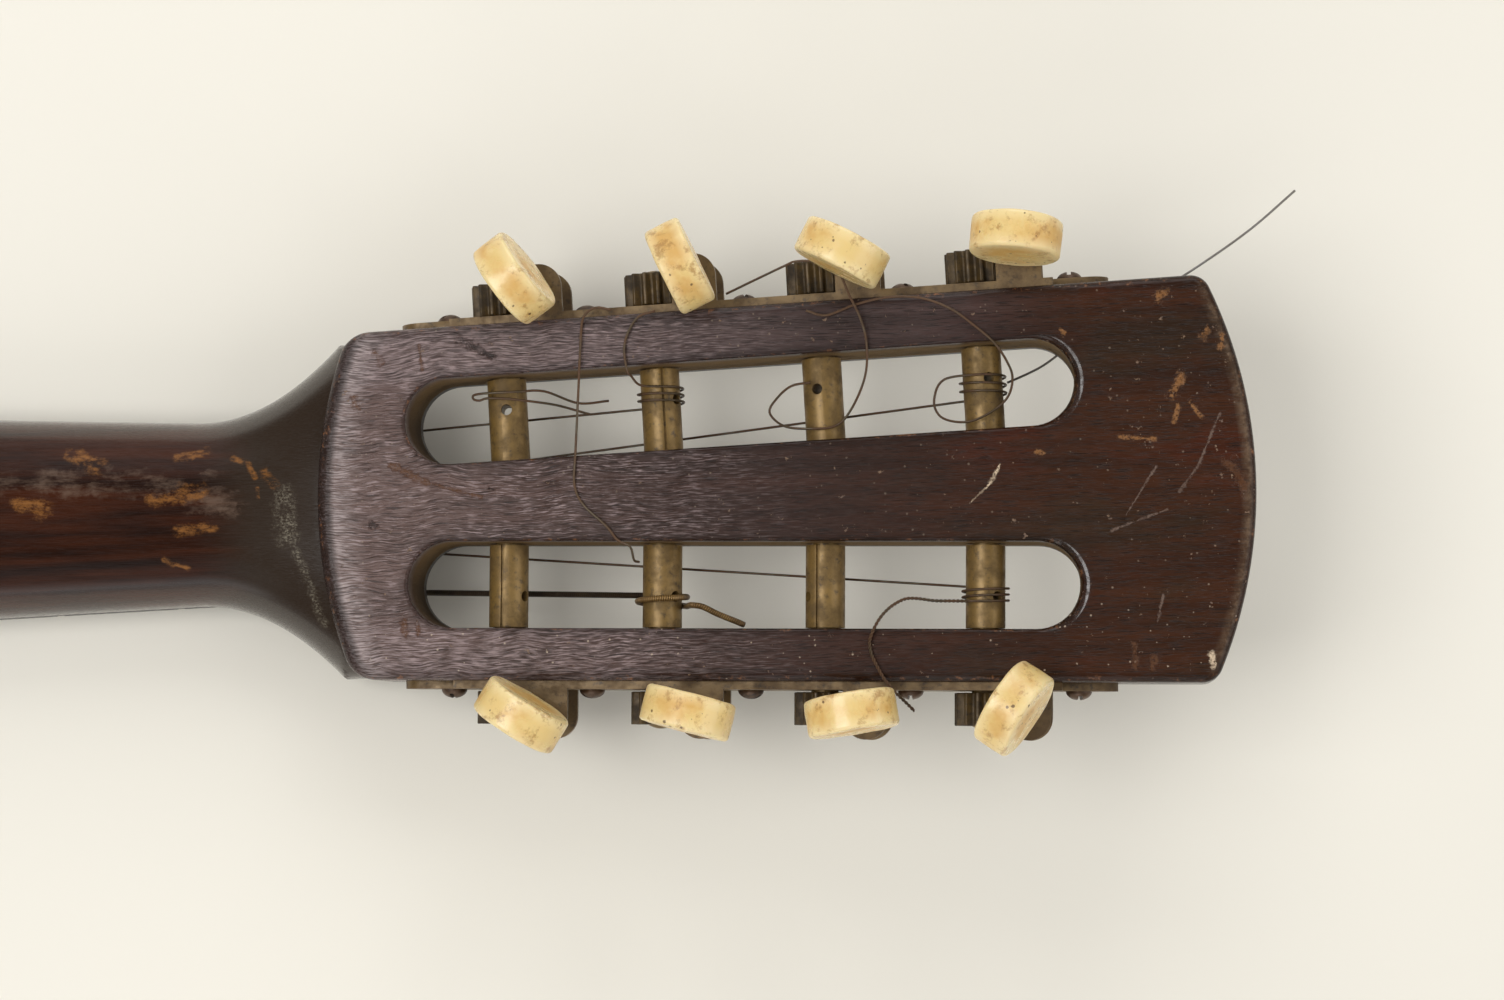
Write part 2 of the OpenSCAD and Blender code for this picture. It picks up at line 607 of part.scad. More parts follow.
module tail_bores() for (p = tail_screws) translate([tail_x - 1, p[0], flat_z + p[1]])
    rotate([0, 90, 0]) cylinder(d = 2.5, h = 13);

module tailpiece() color("#b39350") lie() difference() {
    union() {
        translate([tail_x - tailpiece_thickness, -tailpiece_width / 2, flat_z - tailpiece_thickness])
            cube([tailpiece_length, tailpiece_width, tailpiece_thickness]);
        translate([tail_x - tailpiece_thickness, -tailpiece_foot / 2, flat_z - tailpiece_thickness])
            cube([tailpiece_thickness, tailpiece_foot, tailpiece_drop]);
        for (k = [-3.5:3.5]) translate([tail_x + 6, k * (tailpiece_width - 4) / 8, pin_z - 0.8])
            cylinder(d = 2, h = 1.8);
    }
    for (p = tail_screws) translate([tail_x - 3, p[0], flat_z + p[1]]) rotate([0, 90, 0])
        cylinder(d = 2.5, h = 5);
}

module tailpiece_screws() color("#9c8c62") lie() for (p = tail_screws)
    translate([tail_x - tailpiece_thickness, p[0], flat_z + p[1]]) rotate([0, 90, 0]) {
        cylinder(d = 2.5, h = tailpiece_thickness + 11);
        translate([0, 0, -1.1]) dome(5, 1.1);
    }

// a low dome, flat side up
module dome(d, h) intersection() {
    r = (d * d / 4 + h * h) / (2 * h);
    translate([0, 0, r]) sphere(r);
    cylinder(d = d, h = h);
}

// a stamped plate: wide middle, narrow rounded ends, four pairs of bearing tabs
module tuner_plate(s) color("#8a6a3a") side_frame(s) difference() {
    union() {
        translate([plate_start + 8, 0, axis_z - plate_width / 2])
            cube([plate_length - 16, plate_thickness, plate_width]);
        translate([plate_start + 3.4, 0, axis_z - 3.4])
            cube([plate_length - 6.8, plate_thickness, 6.8]);
        for (x = [plate_start + 3.4, plate_start + plate_length - 3.4])
            translate([x, 0, axis_z]) along_y() cylinder(r = 3.4, h = plate_thickness);
        for (k = [0:3]) for (z = [lower_tab_z, upper_tab_z])
            translate([roller_x(k) + worm_x + tab_shift, 0, z]) {
                translate([-tab_radius, 0, 0]) cube([2 * tab_radius, worm_y, tab_thickness]);
                translate([0, worm_y, 0]) cylinder(r = tab_radius, h = tab_thickness);
            }
    }
    for (k = [0:3]) {
        translate([roller_x(k), -1, axis_z]) along_y()
            cylinder(d = journal_diameter + 2 * running_gap, h = plate_thickness + 2);
        translate([roller_x(k) + worm_x, worm_y, lower_tab_z - 1])
            cylinder(r = worm_root + running_gap, h = tab_thickness + 2);
        translate([roller_x(k) + worm_x, worm_y, upper_tab_z - 1])
            cylinder(d = stem_diameter + 2 * running_gap, h = tab_thickness + 2);
    }
    for (x = screw_x) translate([x, -1, axis_z]) along_y()
        cylinder(d = screw_shank, h = plate_thickness + 2);
}

module plate_screws() color("#9b7c4a") for (s = [1, -1]) side_frame(s) for (x = screw_x)
    translate([x, 0, axis_z]) {
        translate([0, -5, 0]) along_y() cylinder(d = screw_shank, h = 5 + plate_thickness);
        difference() {
            translate([0, plate_thickness + 1.3, 0]) rotate([90, 0, 0]) dome(screw_head, 1.3);
            translate([-0.3, plate_thickness + 0.8, -4]) cube([0.6, 2, 8]);
        }
    }

// a brass roller across the slot, its journals and the riveted end outside the gear
module roller(s, k) color("#8f6f3e") side_frame(s) translate([roller_x(k), 0, axis_z]) {
    hole = s > 0 ? upper_hole[k] : lower_hole[k];
    seam = s > 0 ? upper_seam[k] : lower_seam[k];
    difference() {
        translate([0, slot_y - slot_width / 2 + end_gap, 0]) along_y()
            cylinder(d = roller_diameter, h = slot_width - 2 * end_gap);
        translate([0, slot_y + 1.5, 0]) rotate([0, hole, 0]) translate([0, 0, -5])
            cylinder(d = string_hole, h = 10);
        rotate([0, seam, 0]) translate([-seam_width / 2, slot_y - 10, roller_radius - 0.4])
            cube([seam_width, 20, 2]);
    }
    translate([0, slot_y - slot_width / 2 - tip_journal_length, 0]) along_y()
        cylinder(d = journal_diameter, h = tip_journal_length + end_gap + 0.1);
    translate([0, -rail_width - end_gap - 0.1, 0]) along_y()
        cylinder(d = journal_diameter, h = rail_width + end_gap + 0.1 + gear_y);
    translate([0, gear_y - 0.1, 0]) along_y() cylinder(r = gear_shaft, h = gear_width + 0.1);
    translate([0, gear_y + gear_width + 0.6, 0]) rotate([90, 0, 0]) dome(journal_diameter, 0.6);
}

// a toothed gear on the roller end, one tooth pointing at the worm
module gear(s, k) color("#5d4728") side_frame(s) translate([roller_x(k), gear_y, axis_z]) along_y()
    difference() {
        linear_extrude(gear_width) polygon([for (t = [0:gear_teeth - 1])
            for (c = [[-1, 0], [-1, 1], [1, 1], [1, 0]]) let (r = gear_radius - (1 - c[1]) * tooth_height,
                half = c[1] == 1 ? 0.22 : worm_pitch * 0.34,
                a = 360 * t / gear_teeth + c[0] * half / r * 180 / PI)
                r * [cos(a), sin(a)]]);
        translate([0, 0, -1]) cylinder(r = gear_shaft, h = gear_width + 2);
    }

// a worm between the tabs: the thread is a circle carried round the axis as it climbs
thread_steps = round(8 * (thread_high - thread_low) / worm_pitch);
thread_sides = 8;
module thread() {
    r = worm_diameter / 2 - thread_depth / 2;
    last = thread_steps * thread_sides;
    points = [for (j = [0:thread_steps])
        let (z = thread_low + (thread_high - thread_low) * j / thread_steps,
            a = 360 * (z - axis_z) / worm_pitch)
            for (k = [0:thread_sides - 1]) let (b = 360 * k / thread_sides)
                [thread_depth / 2 * cos(a) + r * cos(b), thread_depth / 2 * sin(a) + r * sin(b), z]];
    sideways = [for (j = [0:thread_steps - 1]) for (k = [0:thread_sides - 1]) for (half = [0, 1])
        let (a = j * thread_sides + k, b = j * thread_sides + (k + 1) % thread_sides)
            half == 0 ? [a, a + thread_sides, b] : [b, a + thread_sides, b + thread_sides]];
    polyhedron(points, concat([[for (k = [0:thread_sides - 1]) k]], sideways,
        [[for (k = [thread_sides - 1:-1:0]) last + k]]), convexity = 8);
}

// the stems are bent by use: each leans from a point just above its tab
module bent(s, k) {
    lean = s > 0 ? upper_lean[k] : lower_lean[k];
    translate([0, 0, bend_z]) rotate(a = atan(norm(lean) / (button_z - bend_z)), v = [-lean[1], lean[0], 0])
        translate([0, 0, -bend_z]) children();
}

module worm(s, k) color("#4d4034") side_frame(s) translate([roller_x(k) + worm_x, worm_y, 0]) {
    thread();
    translate([0, 0, lower_tab_z - 0.3]) cylinder(r = worm_root, h = thread_low - lower_tab_z + 0.3);
    translate([0, 0, thread_high]) cylinder(d = stem_diameter, h = bend_z - thread_high);
    bent(s, k) translate([0, 0, bend_z - 0.6]) cylinder(d = top_diameter, h = stem_top - bend_z + 0.6);
}

module button_profile() {
    translate([0, -button_thickness / 2])
        square([button_diameter / 2 - button_round, button_thickness]);
    translate([0, -button_thickness / 2 + button_round])
        square([button_diameter / 2, button_thickness - 2 * button_round]);
    for (y = [-1, 1])
        translate([button_diameter / 2 - button_round, y * (button_thickness / 2 - button_round)])
            circle(button_round);
}

// a bone button: a thick disc standing on the worm stem
module button(s, k) color("#e6d8ae") side_frame(s)
    translate([roller_x(k) + worm_x, worm_y, 0]) bent(s, k) translate([0, 0, button_z])
        rotate(s > 0 ? upper_turn[k] : lower_turn[k]) difference() {
            rotate([90, 0, 0]) rotate_extrude() button_profile();
            translate([0, 0, -button_diameter]) cylinder(d = top_diameter + 2 * seat_gap,
                h = button_diameter + stem_top - button_z + seat_gap);
        }

module strings() color("#9a8660") lie() for (i = [0:3]) tube(string_route(i), string_size[i]);

module loose_wires() color("#6b5138") lie() for (w = [wire_a, wire_b, wire_c, wire_d])
    tube([for (p = w) in_head(p)], plain_string);

head_block();
head_veneer();
neck();
fingerboard();
frets();
nut();
soundboard();
rosette();
soundboard_binding();
back();
back_binding();
ribs();
linings();
neck_block();
tail_block();
soundboard_braces();
back_braces();
bridge();
bridge_saddle();
tailpiece();
tailpiece_screws();
tuner_plate(1);  // tuner_plate_upper
tuner_plate(-1);  // tuner_plate_lower
plate_screws();
strings();
loose_wires();
roller(1, 0);  // roller_upper_1
roller(1, 1);  // roller_upper_2
roller(1, 2);  // roller_upper_3
roller(1, 3);  // roller_upper_4
roller(-1, 0);  // roller_lower_1
roller(-1, 1);  // roller_lower_2
roller(-1, 2);  // roller_lower_3
roller(-1, 3);  // roller_lower_4
gear(1, 0);  // gear_upper_1
gear(1, 1);  // gear_upper_2
gear(1, 2);  // gear_upper_3
gear(1, 3);  // gear_upper_4
gear(-1, 0);  // gear_lower_1
gear(-1, 1);  // gear_lower_2
gear(-1, 2);  // gear_lower_3
gear(-1, 3);  // gear_lower_4
worm(1, 0);  // worm_upper_1
worm(1, 1);  // worm_upper_2
worm(1, 2);  // worm_upper_3
worm(1, 3);  // worm_upper_4
worm(-1, 0);  // worm_lower_1
worm(-1, 1);  // worm_lower_2
worm(-1, 2);  // worm_lower_3
worm(-1, 3);  // worm_lower_4
button(1, 0);  // button_upper_1
button(1, 1);  // button_upper_2
button(1, 2);  // button_upper_3
button(1, 3);  // button_upper_4
button(-1, 0);  // button_lower_1
button(-1, 1);  // button_lower_2
button(-1, 2);  // button_lower_3
button(-1, 3);  // button_lower_4
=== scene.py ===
# Mandolin with a slotted head, lying face down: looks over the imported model.
import math

import bmesh
import bpy
from mathutils import Matrix, Vector, geometry, noise


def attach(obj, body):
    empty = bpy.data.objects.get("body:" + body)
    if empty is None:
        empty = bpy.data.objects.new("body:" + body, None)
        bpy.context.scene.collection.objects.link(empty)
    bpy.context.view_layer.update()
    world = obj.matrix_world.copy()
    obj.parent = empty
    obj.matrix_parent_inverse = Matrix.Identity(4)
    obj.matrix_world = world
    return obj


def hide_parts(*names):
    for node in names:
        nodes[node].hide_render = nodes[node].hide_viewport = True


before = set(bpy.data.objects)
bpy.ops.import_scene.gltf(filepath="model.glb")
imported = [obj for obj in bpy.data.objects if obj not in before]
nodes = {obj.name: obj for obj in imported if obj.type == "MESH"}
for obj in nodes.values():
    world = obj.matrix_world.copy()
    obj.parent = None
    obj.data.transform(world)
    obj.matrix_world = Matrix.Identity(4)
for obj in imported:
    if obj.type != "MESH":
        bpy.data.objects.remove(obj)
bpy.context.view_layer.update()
scene = bpy.context.scene
scene.view_settings.view_transform = "Standard"
mm = 0.001

# the head lies tilted, and its two sides spread
headFrame = {
    "x": 157.834, "z": 5.35, "tilt": math.radians(10), "halfBase": 25.4, "sideTurn": math.radians(1.8),
    "thick": 15.0, "axis": 7.5, "slotY": -14.0, "lowerShift": -0.5,
}
rowShift = 153.334  # the nut is this far from the middle of the length


def inHead(u, v, z):
    c, s = math.cos(headFrame["tilt"]), math.sin(headFrame["tilt"])
    return Vector((headFrame["x"] + u * c - z * s, v, headFrame["z"] + u * s + z * c)) * mm


def onSide(side, x, y, z):
    c, s = math.cos(headFrame["sideTurn"]), math.sin(headFrame["sideTurn"])
    return inHead(x * c - y * s, side * (headFrame["halfBase"] + x * s + y * c), z)


def headTurn(v):
    c, s = math.cos(headFrame["tilt"]), math.sin(headFrame["tilt"])
    return Vector((v[0] * c - v[2] * s, v[1], v[0] * s + v[2] * c))


# camera, in the frame of the head; its focal length is in pixels of the picture's width
viewer = {
    "place": (120.313, -40.127, 573.691), "focal": 3871.0, "picture": 1504, "sensor": 36, "seesTo": 20,
    "right": (0.99454, -0.02583, -0.10106), "up": (0.03264, 0.99726, 0.06636), "back": (0.09907, -0.0693, 0.99266),
}


def placeCamera():
    data = bpy.data.cameras.new("camera")
    data.sensor_width = viewer["sensor"]
    data.lens = viewer["focal"] * viewer["sensor"] / viewer["picture"]
    data.clip_end = viewer["seesTo"]
    camera = bpy.data.objects.new("camera", data)
    scene.collection.objects.link(camera)
    turn = Matrix([headTurn(viewer[k]).normalized() for k in ("right", "up", "back")]).transposed()
    camera.matrix_world = Matrix.Translation(inHead(*viewer["place"])) @ turn.to_4x4()
    scene.camera = camera


placeCamera()
print("camera placed")


def newPiece(name, mesh, finish, body="instrument", slot=None, stands=()):
    piece = bpy.data.objects.new(name, mesh)
    scene.collection.objects.link(piece)
    if finish:
        mesh.materials.clear()
        mesh.materials.append(finish)
    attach(piece, body)
    if stands:
        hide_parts(*stands)
    return piece


def setMesh(name, points, faces, smooth=True):
    mesh = bpy.data.meshes.new(name)
    mesh.from_pydata([tuple(p) for p in points], [], faces)
    mesh.validate()
    for polygon in mesh.polygons:
        polygon.use_smooth = smooth
    return mesh


# quads between rings of points that follow one another
def ringFaces(rings, count, start=0):
    faces = []
    for i in range(rings - 1):
        for k in range(count):
            a, b = start + i * count + k, start + i * count + (k + 1) % count
            faces.append((a, b, b + count, a + count))
    return faces


def setValues(mesh, name, values):
    mesh.attributes.new(name, "FLOAT", "POINT").data.foreach_set("value", values)


# faces of a closed mesh turned outward
def outward(mesh):
    work = bmesh.new()
    work.from_mesh(mesh)
    bmesh.ops.recalc_face_normals(work, faces=work.faces)
    work.to_mesh(mesh)
    work.free()


# smooth shading, broken where faces meet at more than the angle
def smoothed(mesh, angle):
    for polygon in mesh.polygons:
        polygon.use_smooth = True
    mesh.set_sharp_from_angle(angle=math.radians(angle))


def pathLength(path):
    return sum((b - a).length for a, b in zip(path, path[1:]))


# a smooth curve through the points, about one sample for each step
def smoothPath(points, step=0.0006):
    ends = [points[0] * 2 - points[1]] + list(points) + [points[-1] * 2 - points[-2]]
    path = []
    for a, b, c, d in zip(ends, ends[1:], ends[2:], ends[3:]):
        count = max(2, math.ceil((c - b).length / step))
        for i in range(count):
            t = i / count
            path.append(0.5 * (2 * b + (c - a) * t + (2 * a - 5 * b + 4 * c - d) * t * t
                               + (3 * b - a - 3 * c + d) * t * t * t))
    return path + [points[-1].copy()]


# each point of a path with two directions across it, carried along without twist
def carried(path):
    normal = None
    for i, p in enumerate(path):
        tangent = (path[min(i + 1, len(path) - 1)] - path[max(i - 1, 0)]).normalized()
        if normal is None:
            normal = tangent.orthogonal().normalized()
        normal = (normal - tangent * normal.dot(tangent)).normalized()
        yield p, normal, tangent.cross(normal)


# round wires along one or more paths, their UV runs round and along them in millimetres
def wireMesh(name, runs, sides):
    points, faces, uvs = [], [], []
    for path, diameter in runs:
        start, far = len(points), 0.0
        for i, (p, normal, across) in enumerate(carried(path)):
            for k in range(sides):
                a = 2 * math.pi * k / sides
                points.append(p + (normal * math.cos(a) + across * math.sin(a)) * diameter / 2)
            if i:
                past, far = far, far + (p - path[i - 1]).length / mm
                for k in range(sides):
                    left, right = k / sides, (k + 1) / sides
                    uvs.append([(left, past), (right, past), (right, far), (left, far)])
        faces += ringFaces(len(path), sides, start)
        last = start + (len(path) - 1) * sides
        faces += [tuple(range(start + sides - 1, start - 1, -1)), tuple(range(last, last + sides))]
        uvs += [[(0.5, 0.0)] * sides, [(0.5, far)] * sides]
    mesh = setMesh(name, points, faces)
    around = mesh.uv_layers.new(name="along").data
    for polygon, corners in zip(mesh.polygons, uvs):
        for loop, uv in zip(polygon.loop_indices, corners):
            around[loop].uv = uv
    return mesh


# two thin strands twisted about a path
def twistedPair(path, size, lay):
    strands, far = ([], []), 0.0
    for i, (p, normal, across) in enumerate(carried(path)):
        far += (p - path[i - 1]).length if i else 0.0
        a = 2 * math.pi * far / lay
        for strand, turn in zip(strands, (a, a + math.pi)):
            strand.append(p + (normal * math.cos(turn) + across * math.sin(turn)) * size / 2)
    return [(strand, size) for strand in strands]


rollerX = [27.4, 50.3, 74.4, 97.9]


def rollerAt(side, k):
    return rollerX[k] + (0.0 if side > 0 else headFrame["lowerShift"])


def tunerName(side, k):
    return "%s_%d" % ("upper" if side > 0 else "lower", k + 1)


# strings from the tailpiece over saddle and nut, round a roller, to a loose tail in the frame of the head
strings = {
    "size": (0.36, 0.36, 0.36, 0.9), "side": (1, 1, -1, -1), "roller": (1, 3, 3, 1),
    "pin": (12, 4, -4, -12), "bridge": (19.5, 7.41, -8.19, -19.5), "nut": (11.6, 4.408, -4.872, -11.6),
    "pinAt": (-436.181, 4.55), "bridgeAt": (-341.2, 0.45), "nutAt": (4, 0.45), "straightStep": 0.006,
    "coilFrom": (0.9, -1, 0, 1.2), "coilTo": (3.4, 2, 2.2, 2.9), "turns": (2.5, 2.5, 2.5, 1.25),
    "rollerHalf": 2.9, "clear": 0.3, "coilSteps": 32, "sides": 10, "wound": 3, "woundSides": 14,
    "twisted": 2, "strand": 0.72, "lay": 3.4, "twistStep": 0.00012,
    "tails": (
        ((48.2, 16.5, 12.6), (47.2, 17.7, 14.6), (46.8, 18.3, 15.6), (46.4, 21.4, 15.5), (47, 23.9, 15.5),
         (48.6, 26.2, 15.5), (51.1, 27, 15.5)),
        ((92.8, 15.9, 10.6), (91.2, 13.1, 10), (91.8, 10.8, 10.2), (93.8, 9.7, 11), (96.7, 9.6, 11.6),
         (100, 11.1, 11.6), (102.1, 13.1, 11.4), (102.8, 15.7, 12.2), (102.1, 17.9, 13.8), (100.4, 20.5, 15.6),
         (97.5, 23.2, 15.5), (94.2, 25.7, 15.5), (90, 27.4, 15.5), (85.2, 27.7, 15.5), (80.4, 26.8, 15.5),
         (76.1, 25.4, 15.5), (73.2, 26.2, 15.6)),
        ((90.4, -16.4, 11.4), (86.8, -16, 12.6), (84.2, -17.3, 14.5), (82.4, -19.4, 15.7), (81.2, -22, 15.6),
         (81.5, -24.5, 15.5), (82.5, -26.5, 15.5), (83.7, -28.6, 15.3), (85.2, -30.2, 14.7), (86.3, -31.4, 14.1),
         (87.5, -32.7, 13.5)),
        ((54.5, -15.9, 9.2), (55.3, -16, 10.8), (56.6, -16.3, 11.2), (58.7, -17.4, 10.6), (61, -18.4, 9.8),
         (62.3, -19, 9)),
    ),
}

# broken ends that lie over the head
looseWires = {
    "size": 0.36, "grey": 3,
    "routes": (
        ((40.2, 12.8, 8.5), (35.4, 14.2, 10), (31.1, 14.9, 11.1), (28.2, 15.3, 11.3), (25.3, 15.5, 11),
         (24.1, 15.2, 10.8), (23.3, 15.35, 10.9), (23.1, 15.75, 11.1), (23.5, 16.05, 11.3), (25.5, 16.15, 11.9),
         (29.9, 16.2, 12.1), (33.8, 16.2, 11.2), (38.5, 14.5, 8.9), (42.9, 14.8, 7.6)),
        ((44.6, 27.4, 15.4), (42.3, 27.8, 15.4), (40.5, 26.4, 15.5), (40, 22.6, 15.6), (39.5, 14.8, 15.8),
         (38.9, 7, 15.5), (38.6, 1.9, 15.4), (39.9, -1.1, 15.4), (43.1, -4.2, 15.6), (44.8, -6.4, 15.5),
         (46.6, -7.4, 15.5), (47, -9.3, 14.6), (47.5, -9.5, 13)),
        ((73.2, 16.1, 11.4), (70.4, 15.7, 11), (68.2, 14.2, 9.7), (66.9, 12.1, 9.2), (69.1, 9.9, 10.6),
         (72.8, 9.3, 11.4), (76.8, 9.6, 11.5), (79.3, 12.1, 12), (81.5, 16.6, 14.1), (81.9, 21.2, 15.7),
         (81.1, 24.8, 16.1), (79.6, 28.2, 16.2), (78.35, 31.2, 15.9), (76.4, 32.7, 14.6), (74.1, 33.7, 13.2),
         (71.6, 33.8, 12.9), (70.2, 33.3, 12.8), (65.8, 31.4, 12.8), (61.3, 29.4, 12.9)),
        ((101.8, 15.8, 3.6), (105, 17.4, 0.9), (107.6, 18.9, -0.3), (112.4, 22.3, -0.32), (116.8, 25.1, -0.4),
         (124.5, 29.2, -1), (130.6, 32.8, -1.8), (138.3, 38, -2.6), (145.1, 43.6, -3)),
    ),
}


def stringPath(i):
    s = strings
    straight = [Vector((s[stop + "At"][0] + rowShift, s[stop][i], s[stop + "At"][1])) * mm
                for stop in ("pin", "bridge", "nut")]
    r = s["rollerHalf"] + s["clear"] + s["size"][i] / 2
    count = round(s["coilSteps"] * s["turns"][i])
    coil = []
    for j in range(count + 1):
        t = math.radians(-90 + 360 * s["turns"][i] * j / count)
        y = headFrame["slotY"] + s["coilFrom"][i] + (s["coilTo"][i] - s["coilFrom"][i]) * j / count
        coil.append(onSide(s["side"][i], rollerAt(s["side"][i], s["roller"][i]) + r * math.cos(t), y,
                           headFrame["axis"] + r * math.sin(t)))
    tail = smoothPath(coil[-2:] + [inHead(*p) for p in s["tails"][i]])
    first = next(k for k, p in enumerate(tail) if (p - coil[-1]).length < 1e-7)
    path = []
    for a, b in zip(straight, straight[1:] + coil[:1]):
        count = max(2, math.ceil((b - a).length / s["straightStep"]))
        path += [a.lerp(b, k / count) for k in range(count)]
    return path + coil[:-1], tail[first:]


def makeStrings(plain, wound, grey):
    s = strings
    for i in range(4):
        taut, tail = stringPath(i)
        path = taut + tail
        size = s["size"][i] * mm
        runs = [(path, size)]
        if i == s["twisted"]:
            strands = twistedPair(smoothPath(tail[5::4], s["twistStep"]), s["strand"] * size, s["lay"] * size)
            runs = [(taut + tail[:6], size)] + strands
        finish, sides = (wound, s["woundSides"]) if i == s["wound"] else (plain, s["sides"])
        mesh = wireMesh("string_%d" % (i + 1), runs, sides)
        piece = newPiece(mesh.name, mesh, finish, slot="string_steel", stands=["strings"])
        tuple(path[0])
        pathLength(path)
    for i, route in enumerate(looseWires["routes"]):
        path = smoothPath([inHead(*p) for p in route])
        size = looseWires["size"] * mm
        mesh = wireMesh("loose_wire_%d" % (i + 1), [(path, size)], s["sides"])
        finish = grey if i == looseWires["grey"] else plain
        piece = newPiece(mesh.name, mesh, finish, slot="string_steel", stands=["loose_wires"])
        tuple(path[0])
        pathLength(path)
    print("strings and loose wires laid")


# shader helpers
def shade(r, g, b):
    return tuple(c / 3294.6 if c <= 10.31 else ((c / 255 + 0.055) / 1.055) ** 2.4 for c in (r, g, b)) + (1.0,)


def addNode(tree, kind, inputs=(), **settings):
    node = tree.nodes.new(kind)
    for key, value in settings.items():
        setattr(node, key, value)
    for key, value in dict(inputs).items():
        if isinstance(value, bpy.types.NodeSocket):
            tree.links.new(value, node.inputs[key])
        else:
            node.inputs[key].default_value = value
    return node


def calc(tree, operation, a, b=0.0, clamp=False):
    return addNode(tree, "ShaderNodeMath", {0: a, 1: b}, operation=operation, use_clamp=clamp).outputs[0]


def times(tree, first, *others):
    for other in others:
        first = calc(tree, "MULTIPLY", first, other)
    return first


def vecCalc(tree, operation, *inputs):
    return addNode(tree, "ShaderNodeVectorMath", dict(enumerate(inputs)), operation=operation).outputs


def scaled(tree, vector, by):
    return addNode(tree, "ShaderNodeVectorMath", {0: vector, "Scale": by}, operation="SCALE").outputs[0]


def packed(tree, x=0.0, y=0.0, z=0.0):
    return addNode(tree, "ShaderNodeCombineXYZ", {0: x, 1: y, 2: z}).outputs[0]


def span(tree, value, low, high, first=0.0, last=1.0):
    return addNode(tree, "ShaderNodeMapRange", {0: value, 1: low, 2: high, 3: first, 4: last},
                   interpolation_type="SMOOTHSTEP").outputs[0]


def mixed(tree, factor, a, b):
    return addNode(tree, "ShaderNodeMix", {0: factor, 6: a, 7: b}, data_type="RGBA").outputs[2]


# a colour laid over another, as strongly as all the masks together let through
def over(tree, under, colour, *masks):
    return mixed(tree, times(tree, *masks), under, colour)


def stretched(tree, vector, scale, turn=(0, 0, 0)):
    return addNode(tree, "ShaderNodeMapping", {"Vector": vector, "Rotation": turn, "Scale": scale}).outputs[0]


def cloudy(tree, vector, scale, detail=3.0, rough=0.55):
    return addNode(tree, "ShaderNodeTexNoise", {"Vector": vector, "Scale": scale, "Detail": detail,
                                                "Roughness": rough}).outputs[0]


# clouds about nought
def ripple(tree, vector, scale, detail=3.0, rough=0.55):
    return calc(tree, "SUBTRACT", cloudy(tree, vector, scale, detail, rough), 0.5)


def streaks(tree, vector, scale, detail, rough):
    return cloudy(tree, stretched(tree, vector, scale), 1.0, detail, rough)


def newGroup(name, inputs, outputs):
    tree = bpy.data.node_groups.new(name, "ShaderNodeTree")
    for label, kind, value in inputs:
        socket = tree.interface.new_socket(label, in_out="INPUT", socket_type="NodeSocket" + kind)
        if value is not None:
            socket.default_value = value
    for label, kind in outputs:
        tree.interface.new_socket(label, in_out="OUTPUT", socket_type="NodeSocket" + kind)
    return tree, tree.nodes.new("NodeGroupInput").outputs, tree.nodes.new("NodeGroupOutput").inputs


def placed(tree, group, inputs):
    return addNode(tree, "ShaderNodeGroup", inputs, node_tree=group).outputs


# lengthwise wood: broad bands, short open pores, fine silk
def grainGroup():
    tree, i, o = newGroup("lengthwiseGrain", [("Vector", "Vector", None), ("Scale", "Float", 1.0)],
                          [("Bands", "Float"), ("Pores", "Float"), ("Silk", "Float")])
    v = scaled(tree, i["Vector"], i["Scale"])
    bands = streaks(tree, v, (28, 420, 420), 4.0, 0.6)
    pores = streaks(tree, v, (300, 5200, 5200), 2.0, 0.5)
    silkSheen = streaks(tree, v, (400, 4800, 4800), 3.0, 0.6)
    tree.links.new(span(tree, bands, 0.3, 0.7), o["Bands"])
    tree.links.new(span(tree, pores, 0.52, 0.66), o["Pores"])
    tree.links.new(silkSheen, o["Silk"])
    return tree


# scattered specks: each cell of a broken pattern may hold one
def speckGroup():
    tree, i, o = newGroup("specks", [("Vector", "Vector", None), ("Scale", "Float", 600.0),
                                     ("Share", "Float", 0.2), ("Size", "Float", 0.3)], [("Mask", "Float")])
    cell = addNode(tree, "ShaderNodeTexVoronoi", {"Vector": i["Vector"], "Scale": i["Scale"]})
    chance = addNode(tree, "ShaderNodeSeparateColor", {0: cell.outputs["Color"]})
    there = calc(tree, "LESS_THAN", chance.outputs[0], i["Share"])
    reach = times(tree, i["Size"], calc(tree, "ADD", chance.outputs[1], 0.35))
    uneven = times(tree, ripple(tree, i["Vector"], 3000.0, 2.0), 0.3)
    far = calc(tree, "ADD", cell.outputs["Distance"], uneven)
    inside = span(tree, calc(tree, "SUBTRACT", reach, far), 0.0, 0.12)
    tree.links.new(times(tree, inside, there), o["Mask"])
    return tree


